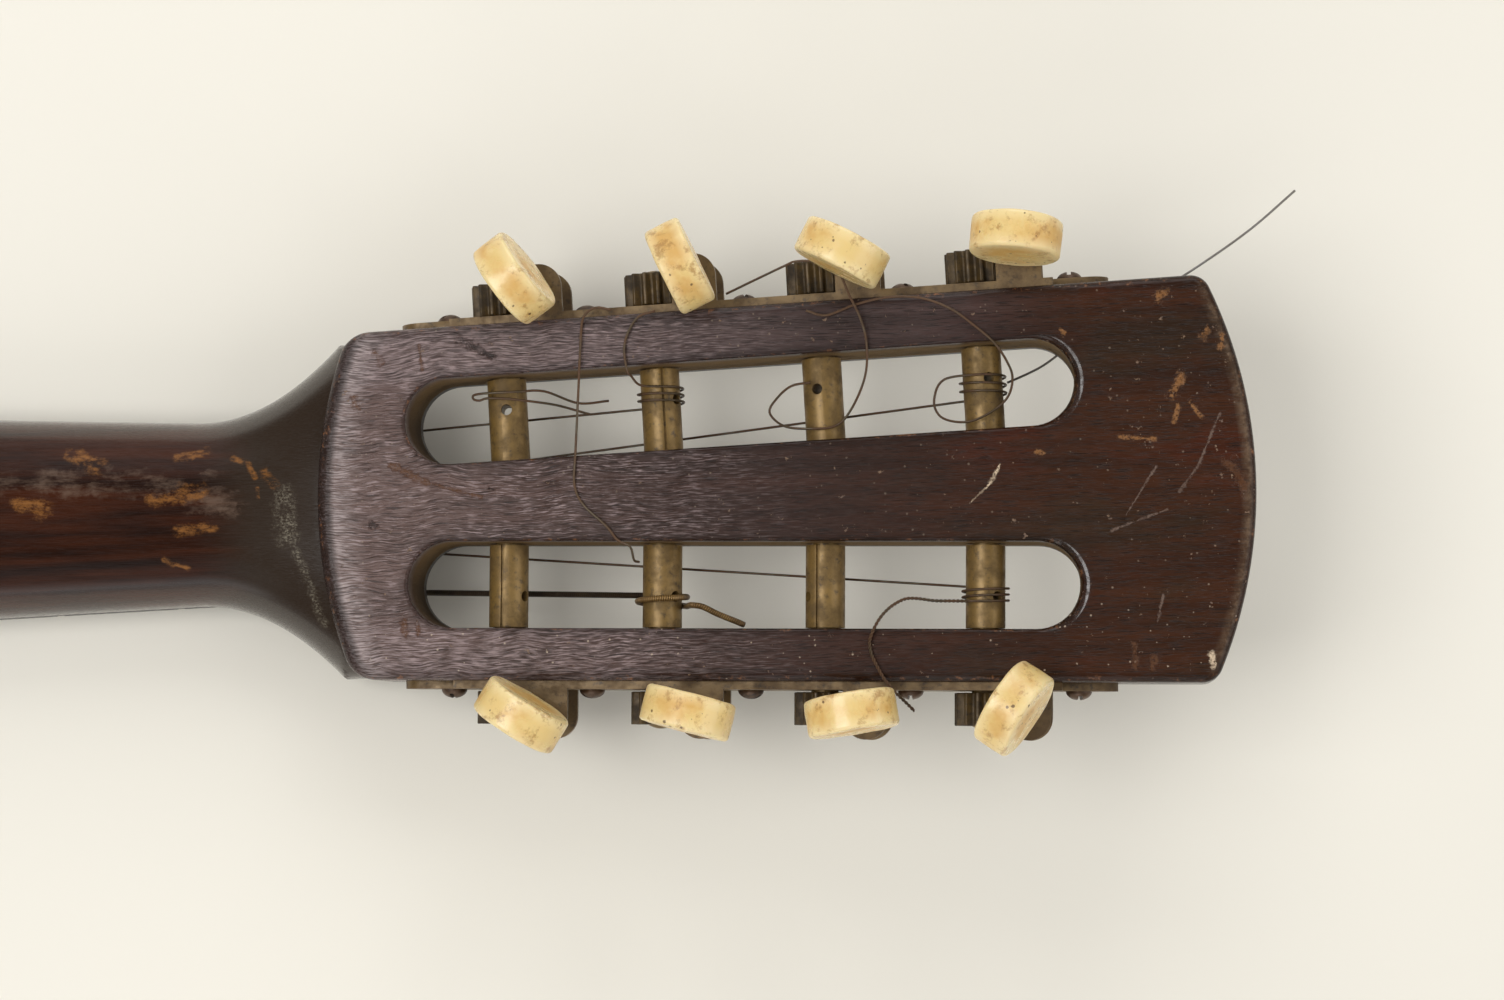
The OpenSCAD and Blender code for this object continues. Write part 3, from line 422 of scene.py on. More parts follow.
# one mark between two points, with a ragged edge; the marks hang on one another in a row
def markGroup():
    tree, i, o = newGroup("lineMark", [("Vector", "Vector", None), ("Start", "Vector", None), ("End", "Vector", None),
                                       ("Width", "Float", 0.0006), ("Ragged", "Float", 0.0), ("Before", "Float", 0.0)],
                          [("Mask", "Float"), ("Vector", "Vector")])
    run = vecCalc(tree, "SUBTRACT", i["End"], i["Start"])[0]
    reach = vecCalc(tree, "SUBTRACT", i["Vector"], i["Start"])[0]
    along, whole = [vecCalc(tree, "DOT_PRODUCT", way, run)[1] for way in (reach, run)]
    foot = scaled(tree, run, calc(tree, "DIVIDE", along, whole, True))
    far = vecCalc(tree, "LENGTH", vecCalc(tree, "SUBTRACT", reach, foot)[0])[1]
    width = times(tree, i["Width"], calc(tree, "ADD", i["Ragged"], 1.0))
    mask = calc(tree, "MAXIMUM", span(tree, calc(tree, "DIVIDE", far, width), 0.3, 1.0, 1.0, 0.0), i["Before"])
    tree.links.new(mask, o["Mask"])
    tree.links.new(vecCalc(tree, "MULTIPLY_ADD", mask, (1e-8, 0, 0), i["Vector"])[0], o["Vector"])
    return tree


# old metal: cloudy tarnish, dark grime, a fine cloudy relief
def patinaGroup():
    tree, i, o = newGroup("oldMetal", [("Vector", "Vector", None), ("Scale", "Float", 1.0)],
                          [("Tarnish", "Float"), ("Grime", "Float"), ("Height", "Float")])
    v = scaled(tree, i["Vector"], i["Scale"])
    tree.links.new(span(tree, cloudy(tree, v, 260.0, 5.0, 0.65), 0.35, 0.68), o["Tarnish"])
    tree.links.new(span(tree, cloudy(tree, v, 900.0, 4.0, 0.7), 0.52, 0.72), o["Grime"])
    tree.links.new(cloudy(tree, v, 2200.0, 3.0, 0.6), o["Height"])
    return tree


grain, specks, lineMark, oldMetal = grainGroup(), speckGroup(), markGroup(), patinaGroup()
print("shader groups built")


def newFinish(name, rough=0.5, metal=0.0, coat=0.0, coatRough=0.2, specular=0.5):
    finish = bpy.data.materials.new(name)
    finish.use_nodes = True
    tree = finish.node_tree
    shader = tree.nodes["Principled BSDF"]
    shader.inputs["Roughness"].default_value = rough
    shader.inputs["Metallic"].default_value = metal
    shader.inputs["Coat Weight"].default_value = coat
    shader.inputs["Coat Roughness"].default_value = coatRough
    shader.inputs["Specular IOR Level"].default_value = specular
    where = tree.nodes.new("ShaderNodeTexCoord").outputs["Object"]
    return finish, tree, shader, where


def bumped(tree, shader, height, depth, strength=0.5):
    bump = addNode(tree, "ShaderNodeBump", {"Strength": strength, "Distance": depth, "Height": height})
    tree.links.new(bump.outputs[0], shader.inputs["Normal"])


def painted(tree, shader, socket, value):
    tree.links.new(value, shader.inputs[socket])


def onMesh(tree, name):
    return addNode(tree, "ShaderNodeAttribute", attribute_name=name).outputs["Fac"]


# object coordinates turned into the frame of the head, in metres
def headAxes(tree, where):
    c, s = math.cos(headFrame["tilt"]), math.sin(headFrame["tilt"])
    x, z = headFrame["x"] * mm, headFrame["z"] * mm
    return addNode(tree, "ShaderNodeMapping", {"Vector": where, "Rotation": (0, headFrame["tilt"], 0),
                                               "Location": (-x * c - z * s, 0, x * s - z * c)}).outputs[0]


def axisOf(tree, vector, name):
    return addNode(tree, "ShaderNodeSeparateXYZ", {0: vector}).outputs[name]


# plain wood: bands between two tones, dark pores, a little relief
def woodFinish(name, pale, dark, pore, rough=0.5, coat=0.0, scale=1.0, turn=(0, 0, 0), depth=0.00005):
    finish, tree, shader, where = newFinish(name, rough, coat=coat, coatRough=0.25)
    if any(turn):
        where = stretched(tree, where, (1, 1, 1), turn)
    g = placed(tree, grain, {"Vector": where, "Scale": scale})
    colour = mixed(tree, g["Bands"], pale, dark)
    colour = over(tree, colour, pore, g["Pores"], 0.6)
    painted(tree, shader, "Base Color", colour)
    painted(tree, shader, "Roughness", span(tree, g["Silk"], 0.3, 0.7, rough - 0.08, rough + 0.1))
    bumped(tree, shader, calc(tree, "SUBTRACT", g["Silk"], g["Pores"]), depth)
    return finish


# metal: bright where rubbed, tarnished in clouds, dark in the grime
def metalFinish(name, bright, dull, grime, rough=0.4, metal=0.9, scale=1.0, dirt=0.8, depth=0.00004):
    finish, tree, shader, where = newFinish(name, rough, metal)
    m = placed(tree, oldMetal, {"Vector": where, "Scale": scale})
    colour = mixed(tree, m["Tarnish"], bright, dull)
    colour = over(tree, colour, grime, m["Grime"], dirt)
    painted(tree, shader, "Base Color", colour)
    painted(tree, shader, "Roughness", span(tree, m["Tarnish"], 0.0, 1.0, rough - 0.12, rough + 0.16))
    painted(tree, shader, "Metallic", span(tree, m["Grime"], 0.0, 1.0, metal, metal * 0.35))
    bumped(tree, shader, m["Height"], depth, 0.6)
    return finish


headWoodLook = {
    # the pale left tone is partly the wood's own faded colour and partly painted sheen
    "left": shade(98, 77, 71), "middle": shade(56, 34, 26), "right": shade(60, 32, 16), "pore": shade(20, 12, 8),
    "wall": shade(82, 65, 43), "litWall": shade(136, 110, 72), "wornEdge": shade(138, 92, 60),
    # the pale silk streaks and the crest sheen are painted highlights
    "dust": shade(186, 168, 148), "silkSheen": shade(146, 128, 127), "sheen": shade(172, 160, 158),
    # the upper rail tone is its own purple-grey with painted sheen
    "rubbed": shade(108, 88, 70), "red": shade(74, 32, 14), "olive": shade(52, 34, 20), "railToneAndSheen": shade(86, 74, 74),
    "brown": shade(84, 54, 34), "dark": shade(36, 24, 20), "pale": shade(206, 184, 156), "worn": shade(130, 90, 54),
    "grey": shade(104, 86, 76), "rough": 0.19, "crestArc": 68.7, "markWidth": 0.85,
    "marks": {
        "brown": (((11.3, 5.8), (16.6, 3.0), 0.7), ((16.0, 3.2), (24.8, 0.6), 0.4), ((12.9, -17.3), (13.0, -19.2), 0.7),
                  ((14.8, -17.4), (15.0, -19.4), 0.6), ((6.0, 15.6), (6.8, 14.2), 1.0),
                  ((9.4, 22.6), (10.2, 21.0), 0.8), ((16.0, 23.2), (16.3, 19.6), 0.5),
                  ((119.2, -23.6), (119.4, -27.0), 0.7), ((133.6, 1.8), (135.6, -1.4), 1.3),
                  ((122.0, -26.0), (121.6, -27.4), 0.8)),
        "dark": (((22.1, 23.8), (26.8, 21.3), 0.9), ((8.4, -3.0), (8.8, -3.2), 0.8), ((26.0, 1.8), (26.6, 1.6), 0.4)),
        "pale": (((100.7, 2.9), (99.3, 0.2), 0.4), ((99.4, 0.3), (96.4, -2.4), 0.24),
                 ((130.1, -25.6), (130.4, -27.0), 0.8)),
        "worn": (((127.2, 14.8), (125.8, 12.0), 0.9), ((128.2, 11.0), (129.7, 8.8), 0.5),
                 ((126.6, 10.6), (125.9, 8.0), 0.45), ((125.4, 27.0), (124.2, 26.2), 0.9),
                 ((131.2, 21.4), (130.6, 20.6), 0.8), ((133.2, 20.6), (133.0, 18.6), 0.7),
                 ((118.0, 6.2), (123.0, 5.8), 0.5), ((110.0, 22.2), (110.6, 21.6), 0.5),
                 ((106.0, 4.6), (107.0, 4.2), 0.5)),
        "grey": (((132.5, 9.2), (129.1, 1.7), 0.3), ((129.1, 1.7), (126.3, -2.0), 0.3),
                 ((123.2, 1.9), (118.6, -5.0), 0.24), ((124.6, -4.4), (116.5, -7.2), 0.26),
                 ((123.6, -16.6), (122.6, -20.4), 0.3)),
    },
}


def headWoodFinish():
    look, top = headWoodLook, headFrame["thick"] * mm
    finish, tree, shader, where = newFinish("headWood", look["rough"], coatRough=0.1, specular=0.17)
    here = headAxes(tree, where)
    u, v = axisOf(tree, here, "X"), axisOf(tree, here, "Y")
    edge, inner = onMesh(tree, "edge"), onMesh(tree, "inner")
    sway = times(tree, ripple(tree, here, 70.0, 2.0), span(tree, u, 0.03, 0.08, 0.004, 0.0005))
    swayed = vecCalc(tree, "ADD", packed(tree, y=sway), here)[0]
    g = placed(tree, grain, {"Vector": swayed, "Scale": 1.0})
    ragged = ripple(tree, here, 700.0, 5.0, 0.7)
    broken = times(tree, span(tree, cloudy(tree, here, 2400.0, 4.0, 0.75), 0.36, 0.52),
                   span(tree, cloudy(tree, here, 520.0, 3.0, 0.6), 0.34, 0.52, 0.35, 1.0))
    # ground colour from left to right, its paler left end partly the wood's own faded tone and partly painted sheen,
    # then bands and pores
    tone = mixed(tree, span(tree, u, 0.0, 0.06), look["left"], look["middle"])
    blotch = streaks(tree, here, (34, 90, 90), 4.0, 0.6)
    right = over(tree, look["right"], look["red"], span(tree, blotch, 0.54, 0.72))
    right = over(tree, right, look["olive"], span(tree, blotch, 0.5, 0.34))
    tone = over(tree, tone, right, span(tree, u, 0.066, 0.114))
    # upper rail: its own purple-grey tone with painted sheen
    tone = over(tree, tone, look["railToneAndSheen"], span(tree, v, 0.015, 0.019), span(tree, u, 0.092, 0.114, 0.5, 0.0))
    tone = over(tree, tone, look["pore"], g["Bands"], 0.5)
    tone = over(tree, tone, look["pore"], g["Pores"], 0.7)
    # painted sheen: pale silk streaks over the left part and its rails, and a painted highlight along the crest
    patchy = span(tree, streaks(tree, here, (150, 330, 330), 4.0, 0.65), 0.36, 0.64, 0.25, 1.0)
    fade = span(tree, u, 0.04, 0.078, 1.0, 0.0)
    tone = over(tree, tone, look["silkSheen"], span(tree, g["Silk"], 0.49, 0.66), fade, patchy)
    # painted sheen on both rails towards the left
    sides = times(tree, span(tree, calc(tree, "ABSOLUTE", v), 0.0165, 0.0195), span(tree, u, 0.02, 0.075, 0.6, 0.0))
    tone = over(tree, tone, look["silkSheen"], sides, span(tree, g["Silk"], 0.4, 0.62))
    # painted highlight just inside the crest edge
    fromCrest = calc(tree, "SUBTRACT", u, calc(tree, "DIVIDE", times(tree, v, v), 2 * look["crestArc"] * mm))
    tone = over(tree, tone, look["sheen"], span(tree, fromCrest, 0.0016, 0.0026),
                span(tree, fromCrest, 0.0026, 0.0075, 1.0, 0.0), span(tree, g["Silk"], 0.42, 0.6, 0.08, 0.6))
    # painted shade on the rounded edges and the crest edge, then dust, wear, and the walls of the slots with a painted
    # lit tone on their upper sides
    # painted shade on the rounded edges
    tone = over(tree, tone, look["pore"], edge, 0.45)
    # painted shade on the crest edge, strongest where it faces the neck
    tone = over(tree, tone, look["pore"], onMesh(tree, "ridge"), 0.6)
    dust = placed(tree, specks, {"Vector": here, "Scale": 1300.0, "Share": 0.22, "Size": 0.2})["Mask"]
    tone = over(tree, tone, look["dust"], dust, span(tree, v, -0.012, -0.022, 0.2, 0.7))
    wear = span(tree, calc(tree, "ADD", edge, times(tree, ragged, 3.0)), 1.1, 1.6)
    tone = over(tree, tone, look["wornEdge"], wear, 0.7)
    tone = over(tree, tone, look["rubbed"], onMesh(tree, "tip"), span(tree, ragged, -0.12, 0.14, 0.25, 0.9))
    # painted lit tone on the walls along the upper side of each slot
    wall = mixed(tree, onMesh(tree, "upward"), look["wall"], look["litWall"])
    wall = over(tree, wall, look["pore"], g["Pores"], 0.35)
    tone = over(tree, tone, wall, inner, 0.9)
    relief = times(tree, g["Silk"], span(tree, u, 0.03, 0.075, 1.0, 0.25))
    relief = calc(tree, "SUBTRACT", relief, times(tree, g["Pores"], 0.5))
    uneven = times(tree, ragged, 6.0)
    for colour, marks in look["marks"].items():
        total = 0.0
        for a, b, width in marks:
            found = placed(tree, lineMark, {
                "Vector": here, "Start": (a[0] * mm, a[1] * mm, top), "End": (b[0] * mm, b[1] * mm, top),
                "Width": width * mm * look["markWidth"], "Ragged": uneven, "Before": total})
            total, here = found["Mask"], found["Vector"]
        tone = over(tree, tone, look[colour], total, broken, 0.95)
        relief = calc(tree, "SUBTRACT", relief, times(tree, total, 1.5))
    painted(tree, shader, "Base Color", tone)
    gloss = span(tree, g["Silk"], 0.35, 0.65, look["rough"] - 0.04, look["rough"] + 0.12)
    duller = calc(tree, "SUBTRACT", times(tree, inner, 0.6), times(tree, edge, 0.07))
    painted(tree, shader, "Roughness", calc(tree, "ADD", gloss, duller, True))
    glint = times(tree, span(tree, edge, 0.45, 0.62), calc(tree, "SUBTRACT", 1.0, inner), onMesh(tree, "glint"),
                  span(tree, ragged, -0.1, 0.08, 0.3, 1.0))
    painted(tree, shader, "Coat Weight", glint)
    bumped(tree, shader, relief, 0.00007, 0.9)
    return finish


neckWoodLook = {
    "dark": shade(58, 27, 12), "bands": shade(26, 12, 7), "worn": shade(128, 84, 42), "scuff": shade(150, 142, 124),
    "smoky": shade(46, 36, 28), "rubbed": shade(116, 96, 82), "rough": 0.24,
    "patches": (((-22.0, 1.8), (-15.2, 2.6), 1.6), ((-18.4, -2.9), (-13.5, -2.4), 1.0),
                ((-20.6, -7.2), (-17.0, -8.5), 0.6), ((-34.0, 9.0), (-30.2, 6.9), 1.6),
                ((-41.5, 1.5), (-37.5, 0.5), 1.5), ((-18.4, 8.0), (-14.0, 8.8), 0.9), ((-10.0, 7.6), (-9.0, 7.3), 0.7),
                ((-8.2, 7.4), (-7.0, 4.7), 0.5), ((-5.5, 5.3), (-4.2, 3.4), 0.9), ((-6.6, 3.0), (-6.5, 1.5), 0.4)),
    "rubs": (((-15.6, 1.0), (-10.6, 1.0), 2.4), ((-14.6, 5.2), (-12.0, 5.4), 0.9), ((-44.0, 4.6), (-20.0, 4.0), 2.6)),
    "scuffs": (((-2.6, 1.6), (-2.2, -4.8), 2.2), ((-1.2, -6.0), (2.6, -17.0), 0.9)),
    "smokyFrom": -17, "smokyTo": -6,
}


def neckWoodFinish():
    look = neckWoodLook
    finish, tree, shader, where = newFinish("neckWood", look["rough"], coatRough=0.22, specular=0.1)
    g = placed(tree, grain, {"Vector": where, "Scale": 1.0})
    tone = mixed(tree, g["Bands"], look["dark"], look["bands"])
    smokyFrom, smokyTo = [(rowShift + look[end]) * mm for end in ("smokyFrom", "smokyTo")]
    tone = over(tree, tone, look["smoky"], span(tree, axisOf(tree, where, "X"), smokyFrom, smokyTo))
    chips = span(tree, streaks(tree, where, (420, 800, 800), 6.0, 0.8), 0.4, 0.64)
    smears = span(tree, streaks(tree, where, (180, 420, 420), 5.0, 0.7), 0.4, 0.66)
    crumbs = times(tree, span(tree, streaks(tree, where, (2600, 3400, 3400), 5.0, 0.75), 0.42, 0.7, 0.0, 0.75),
                   span(tree, cloudy(tree, where, 520.0, 4.0, 0.65), 0.4, 0.56, 0.2, 1.0))
    flat = vecCalc(tree, "MULTIPLY", where, (1, 1, 0))[0]
    uneven = times(tree, ripple(tree, where, 420.0, 6.0, 0.75), 3.6)
    for kind, colour, fine, share in (("rubs", "rubbed", smears, 0.5), ("patches", "worn", chips, 0.95),
                                      ("scuffs", "scuff", crumbs, 0.8)):
        for a, b, width in look[kind]:
            start, end = [Vector((rowShift + p[0], p[1], 0.0)) * mm for p in (a, b)]
            mask = placed(tree, lineMark, {"Vector": flat, "Start": start, "End": end, "Width": width * mm,
                                           "Ragged": uneven})["Mask"]
            tone = over(tree, tone, look[colour], mask, fine, share)
    painted(tree, shader, "Base Color", tone)
    painted(tree, shader, "Roughness", span(tree, g["Silk"], 0.3, 0.7, look["rough"] - 0.06, look["rough"] + 0.14))
    painted(tree, shader, "Coat Weight", span(tree, onMesh(tree, "flank"), 0.17, 0.34))
    bumped(tree, shader, calc(tree, "SUBTRACT", g["Silk"], g["Pores"]), 0.00003, 0.4)
    return finish


boneLook = {"cream": shade(226, 197, 132), "ochre": shade(204, 155, 76), "stain": shade(154, 106, 46),
            "speck": shade(84, 58, 34), "rimmed": shade(240, 222, 172), "rough": 0.3, "glow": 0.15,
            "glowReach": (0.002, 0.0012, 0.0006)}


def boneFinish():
    look = boneLook
    finish, tree, shader, where = newFinish("oldBone", look["rough"])
    shader.inputs["Subsurface Weight"].default_value = look["glow"]
    shader.inputs["Subsurface Radius"].default_value = look["glowReach"]
    clouds = span(tree, cloudy(tree, where, 170.0, 4.0, 0.6), 0.42, 0.66)
    tone = over(tree, look["cream"], look["ochre"], clouds, 0.75)
    rim = onMesh(tree, "rim")
    tone = over(tree, tone, look["rimmed"], rim, 0.6)
    smudge = calc(tree, "ADD", cloudy(tree, where, 420.0, 5.0, 0.75), times(tree, rim, 0.03))
    tone = over(tree, tone, look["stain"], span(tree, smudge, 0.53, 0.7), 0.65)
    spots = placed(tree, specks, {"Vector": where, "Scale": 1300.0, "Share": 0.1, "Size": 0.3})["Mask"]
    tone = over(tree, tone, look["speck"], spots, 0.8)
    painted(tree, shader, "Base Color", tone)
    painted(tree, shader, "Roughness", span(tree, clouds, 0.0, 1.0, look["rough"] - 0.05, look["rough"] + 0.15))
    bumped(tree, shader, cloudy(tree, where, 900.0, 3.0), 0.00006, 0.4)
    return finish


# overspun string: fine ridges by the distance along the wire, painted shade in the grooves between them, darker where
# it is taut
woundLook = {"bright": shade(150, 118, 70), "dull": shade(98, 72, 42), "groove": shade(40, 28, 18),
             "taut": shade(34, 27, 22), "pitch": 0.32, "coil": 24, "fade": 6}


def woundFinish():
    look = woundLook
    finish, tree, shader, where = newFinish("woundBrass", 0.45, 0.4)
    along = addNode(tree, "ShaderNodeUVMap", uv_map="along").outputs[0]
    turn = addNode(tree, "ShaderNodeSeparateXYZ", {0: along}).outputs
    lead = calc(tree, "ADD", calc(tree, "DIVIDE", turn["Y"], look["pitch"]), turn["X"])
    ridge = calc(tree, "ABSOLUTE", calc(tree, "SINE", times(tree, lead, math.pi)))
    m = placed(tree, oldMetal, {"Vector": where, "Scale": 1.6})
    tone = mixed(tree, m["Tarnish"], look["bright"], look["dull"])
    # painted shade in the grooves between the turns
    tone = over(tree, tone, look["groove"], span(tree, ridge, 0.0, 0.55, 0.85, 0.0))
    coil = pathLength(stringPath(strings["wound"])[0]) / mm - look["coil"]
    tone = over(tree, tone, look["taut"], span(tree, turn["Y"], coil - look["fade"], coil, 0.85, 0.0))
    painted(tree, shader, "Base Color", tone)
    painted(tree, shader, "Roughness", span(tree, m["Grime"], 0.0, 1.0, 0.34, 0.6))
    bumped(tree, shader, ridge, 0.00016, 0.9)
    return finish


# plain wire: grey steel with rust in short lengths
def wireFinish(name, steel, rusty, grime):
    finish, tree, shader, where = newFinish(name, 0.45, 0.3)
    m = placed(tree, oldMetal, {"Vector": where, "Scale": 1.5})
    rust = span(tree, cloudy(tree, where, 190.0, 4.0, 0.7), 0.36, 0.6)
    tone = mixed(tree, rust, steel, rusty)
    tone = over(tree, tone, grime, m["Grime"], 0.7)
    painted(tree, shader, "Base Color", tone)
    painted(tree, shader, "Metallic", span(tree, rust, 0.0, 1.0, 0.4, 0.1))
    painted(tree, shader, "Roughness", span(tree, rust, 0.0, 1.0, 0.32, 0.7))
    bumped(tree, shader, m["Height"], 0.00004, 0.6)
    return finish


headWood, neckWood, bone = headWoodFinish(), neckWoodFinish(), boneFinish()
woundBrass = woundFinish()
rustyWire = wireFinish("rustyWire", shade(78, 66, 48), shade(86, 60, 38), shade(50, 34, 22))
greyWire = wireFinish("greyWire", shade(126, 123, 118), shade(112, 106, 98), shade(92, 84, 76))
darkVeneer = woodFinish("darkVeneer", shade(48, 34, 27), shade(32, 22, 17), shade(18, 12, 10), 0.42, 0.2,
                        turn=(0, headFrame["tilt"], 0))
darkBoard = woodFinish("darkBoard", shade(42, 33, 29), shade(28, 21, 18), shade(14, 10, 9), 0.46, 0.05)
spruce = woodFinish("agedSpruce", shade(204, 158, 96), shade(178, 128, 70), shade(140, 94, 48), 0.46, 0.3)
bodyWood = woodFinish("bodyWood", shade(112, 66, 38), shade(82, 44, 25), shade(44, 24, 15), 0.36, 0.4)
innerWood = woodFinish("innerWood", shade(186, 146, 94), shade(160, 118, 70), shade(120, 84, 46), 0.7)
binding = woodFinish("creamBinding", shade(228, 212, 172), shade(218, 198, 150), shade(190, 162, 112), 0.4, 0.2, 2.0)
plateBrass = metalFinish("plateBrass", shade(116, 94, 60), shade(88, 69, 45), shade(44, 33, 22), 0.5, 0.3)
rollerBrass = metalFinish("rollerBrass", shade(138, 110, 60), shade(106, 84, 48), shade(62, 48, 30), 0.5, 0.3)
gearBrass = metalFinish("gearBrass", shade(84, 66, 36), shade(50, 39, 23), shade(22, 17, 11), 0.5, 0.3, 1.6)
wormSteel = metalFinish("wormSteel", shade(78, 68, 58), shade(52, 43, 35), shade(26, 21, 17), 0.46, 0.5)
fretBrass = metalFinish("fretBrass", shade(186, 160, 106), shade(150, 122, 74), shade(84, 64, 40), 0.34, 0.7)
screwBrass = metalFinish("screwBrass", shade(84, 60, 40), shade(56, 40, 28), shade(28, 20, 14), 0.46, 0.4)
print("finishes mixed")

makeStrings(rustyWire, woundBrass, greyWire)


# head: sides between two arcs, round corners, two string slots, softened back edges
headForm = {
    "radius": 68.7, "tipCorner": 3.0, "crestCorner": 5.0, "veneer": 2.0, "slotFrom": 13.1, "slotLong": 98.2,
    "slotWide": 12.7, "sideEdge": 1.3, "tipEdge": 1.3, "crestEdge": 1.9, "slotEdge": 0.6, "slotTip": 1.5, "steps": 8,
    "rim": 0.9, "innerBelow": 0.9,
}


def cornerCentre(r, way):
    turn, radius = headFrame["sideTurn"], headForm["radius"]
    s = math.tan(turn)
    base = headFrame["halfBase"] - r / math.cos(turn)
    a, b = 1 + s * s, base * s - radius
    c = radius * radius + base * base - (radius - r) ** 2
    u = (-b + way * math.sqrt(b * b - a * c)) / a
    return Vector((u, base + u * s))


# samples of an arc: place, outward direction, rounding of the edge there
def arcSamples(centre, r, start, end, count, edgeFrom, edgeTo):
    found = []
    for i in range(count + 1):
        a = start + (end - start) * i / count
        out = Vector((math.cos(a), math.sin(a)))
        found.append((centre + out * r, out, edgeFrom + (edgeTo - edgeFrom) * i / count))
    return found


def headOutline():
    f = headForm
    middle = Vector((f["radius"], 0))
    tip, crest = cornerCentre(f["tipCorner"], 1), cornerCentre(f["crestCorner"], -1)
    tipTurn = math.atan2(tip.y, tip.x - f["radius"])
    crestTurn = math.atan2(crest.y, crest.x - f["radius"])
    across = math.pi / 2 + headFrame["sideTurn"]
    half = arcSamples(middle, f["radius"], math.pi, crestTurn, 16, f["crestEdge"], f["crestEdge"])
    half += arcSamples(crest, f["crestCorner"], crestTurn, across, 12, f["crestEdge"], f["sideEdge"])[1:]
    first = half[-1]
    corner = arcSamples(tip, f["tipCorner"], across, tipTurn, 10, f["sideEdge"], f["tipEdge"])
    half += [(first[0].lerp(corner[0][0], i / 24), first[1], f["sideEdge"]) for i in range(1, 24)] + corner
    half += arcSamples(middle, f["radius"], tipTurn, 0.0, 20, f["tipEdge"], f["tipEdge"])[1:]
    other = [(Vector((p.x, -p.y)), Vector((n.x, -n.y)), e) for p, n, e in half[-2:0:-1]]
    return half + other


def slotOutline(side):
    f = headForm
    c, s = math.cos(headFrame["sideTurn"]), math.sin(headFrame["sideTurn"])
    r, wide = f["slotWide"] / 2, f["slotEdge"]
    found = []
    for x, start in ((f["slotFrom"] + f["slotLong"] - r, -math.pi / 2), (f["slotFrom"] + r, math.pi / 2)):
        found += arcSamples(Vector((x, headFrame["slotY"])), r, start, start + math.pi, 24, wide, wide)
    found = [(p, n, e + (f["slotTip"] - e) * max(0.0, n.x) ** 0.7) for p, n, e in found]
    turned = []
    for p, n, e in found:
        place = Vector((p.x * c - p.y * s, side * (headFrame["halfBase"] + p.x * s + p.y * c)))
        turned.append((place, Vector((n.x * c - n.y * s, side * (n.x * s + n.y * c))), e))
    return turned if side > 0 else turned[::-1]


# rings up a wall and over its rounded back edge; the sign turns the rounding towards the wood
def wallRings(outline, sign, extra):
    f, thick = headForm, headFrame["thick"]
    rings = [[(p.x, p.y, f["veneer"], 0.0, 0.0, 0.0, n.y) for p, n, e in outline]]
    for j in range(3):
        rings.append([(p.x, p.y, f["veneer"] + (thick - e - f["veneer"]) * (0.4 + 0.3 * j), 0.3 * (j == 2),
                       -n.x, 0.0, n.y) for p, n, e in outline])
    for j in range(1, f["steps"] + 1):
        a = math.pi / 2 * j / f["steps"]
        rings.append([(p.x + sign * n.x * e * (1 - math.cos(a)), p.y + sign * n.y * e * (1 - math.cos(a)),
                       thick - e + e * math.sin(a), 0.5 + 0.5 * math.sin(2 * a), -n.x,
                       max(0.0, n.x) ** 3 * max(0.0, math.sin(2 * a - 1.1)) ** 3, n.y) for p, n, e in outline])
    rings.append([(p.x + sign * n.x * (e + extra), p.y + sign * n.y * (e + extra), thick, 0.0, 0.0, 0.0, 0.0)
                  for p, n, e in outline])
    return rings


def makeHead():
    rim, innerTop = headForm["rim"], headFrame["thick"] - headForm["innerBelow"]
    walls = [wallRings(headOutline(), -1, rim)] + [wallRings(slotOutline(s), 1, rim) for s in (1, -1)]
    points, faces, loops, floors = [], [], [], []
    values = {name: [] for name in ("edge", "inner", "ridge", "tip", "upward", "glint")}
    for w, rings in enumerate(walls):
        start, count = len(points), len(rings[0])
        for ring in rings:
            # the edge value (wear) masks both edge wear and painted shade on the rounded edges
            for u, v, z, wear, facing, rubbed, up in ring:
                points.append(inHead(u, v, z))
                values["edge"].append(wear)
                values["inner"].append(1.0 if w and z < innerTop else 0.0)
                # ridge: painted shade where the outline's rounded edge faces the neck
                values["ridge"].append(0.0 if w else max(0.0, facing))
                values["tip"].append(0.0 if w else rubbed)
                # upward picks the slot walls that get the painted lit tone
                values["upward"].append(max(0.0, up) if w else 0.0)
                values["glint"].append(max(0.0, -facing) if w else 0.0)
        faces += ringFaces(len(rings), count, start)
        loops.append([(start + (len(rings) - 1) * count + k, rings[-1][k]) for k in range(count)])
        floors.append([(start + k, rings[0][k]) for k in range(count)])
    sides = len(faces)
    for group in (loops, floors):
        order = [index for loop in group for index, place in loop]
        flat = [[Vector(place[:2] + (0,)) for index, place in loop] for loop in group]
        faces += [tuple(order[i] for i in face) for face in geometry.tessellate_polygon(flat)]
    mesh = setMesh("head_wood", points, faces)
    for i, polygon in enumerate(mesh.polygons):
        polygon.use_smooth = i < sides
    for name, each in values.items():
        setValues(mesh, name, each)
    outward(mesh)
    newPiece("head_wood", mesh, headWood, slot="head_wood", stands=["head_block"])
    print("head shaped:", len(mesh.polygons), "faces")


makeHead()

# neck: rounded section, scoop up to the crest, flare to the head, heel at the body
neckForm = {
    "nutWide": 26.4, "taper": 0.072, "depth": 11.0, "deepen": 0.012, "flat": 6.75, "sides": 56, "buried": 1.2,
    "flareFrom": 16.0, "flareEnd": (5.6, 25.2), "wallPast": 6, "scoopFrom": 12.0, "scoopCurve": 2.2, "crestDrop": 1.7,
    "round": 2.1, "rounder": 0.3, "heel": 42.0, "heelCurve": 2.4, "joint": -149.181, "bodyDepth": 62.0,
    "backThick": 2.8, "bodyNeck": 48.0, "evenTo": -26, "heelSteps": 18, "evenSteps": 14, "scoopSteps": 60,
}


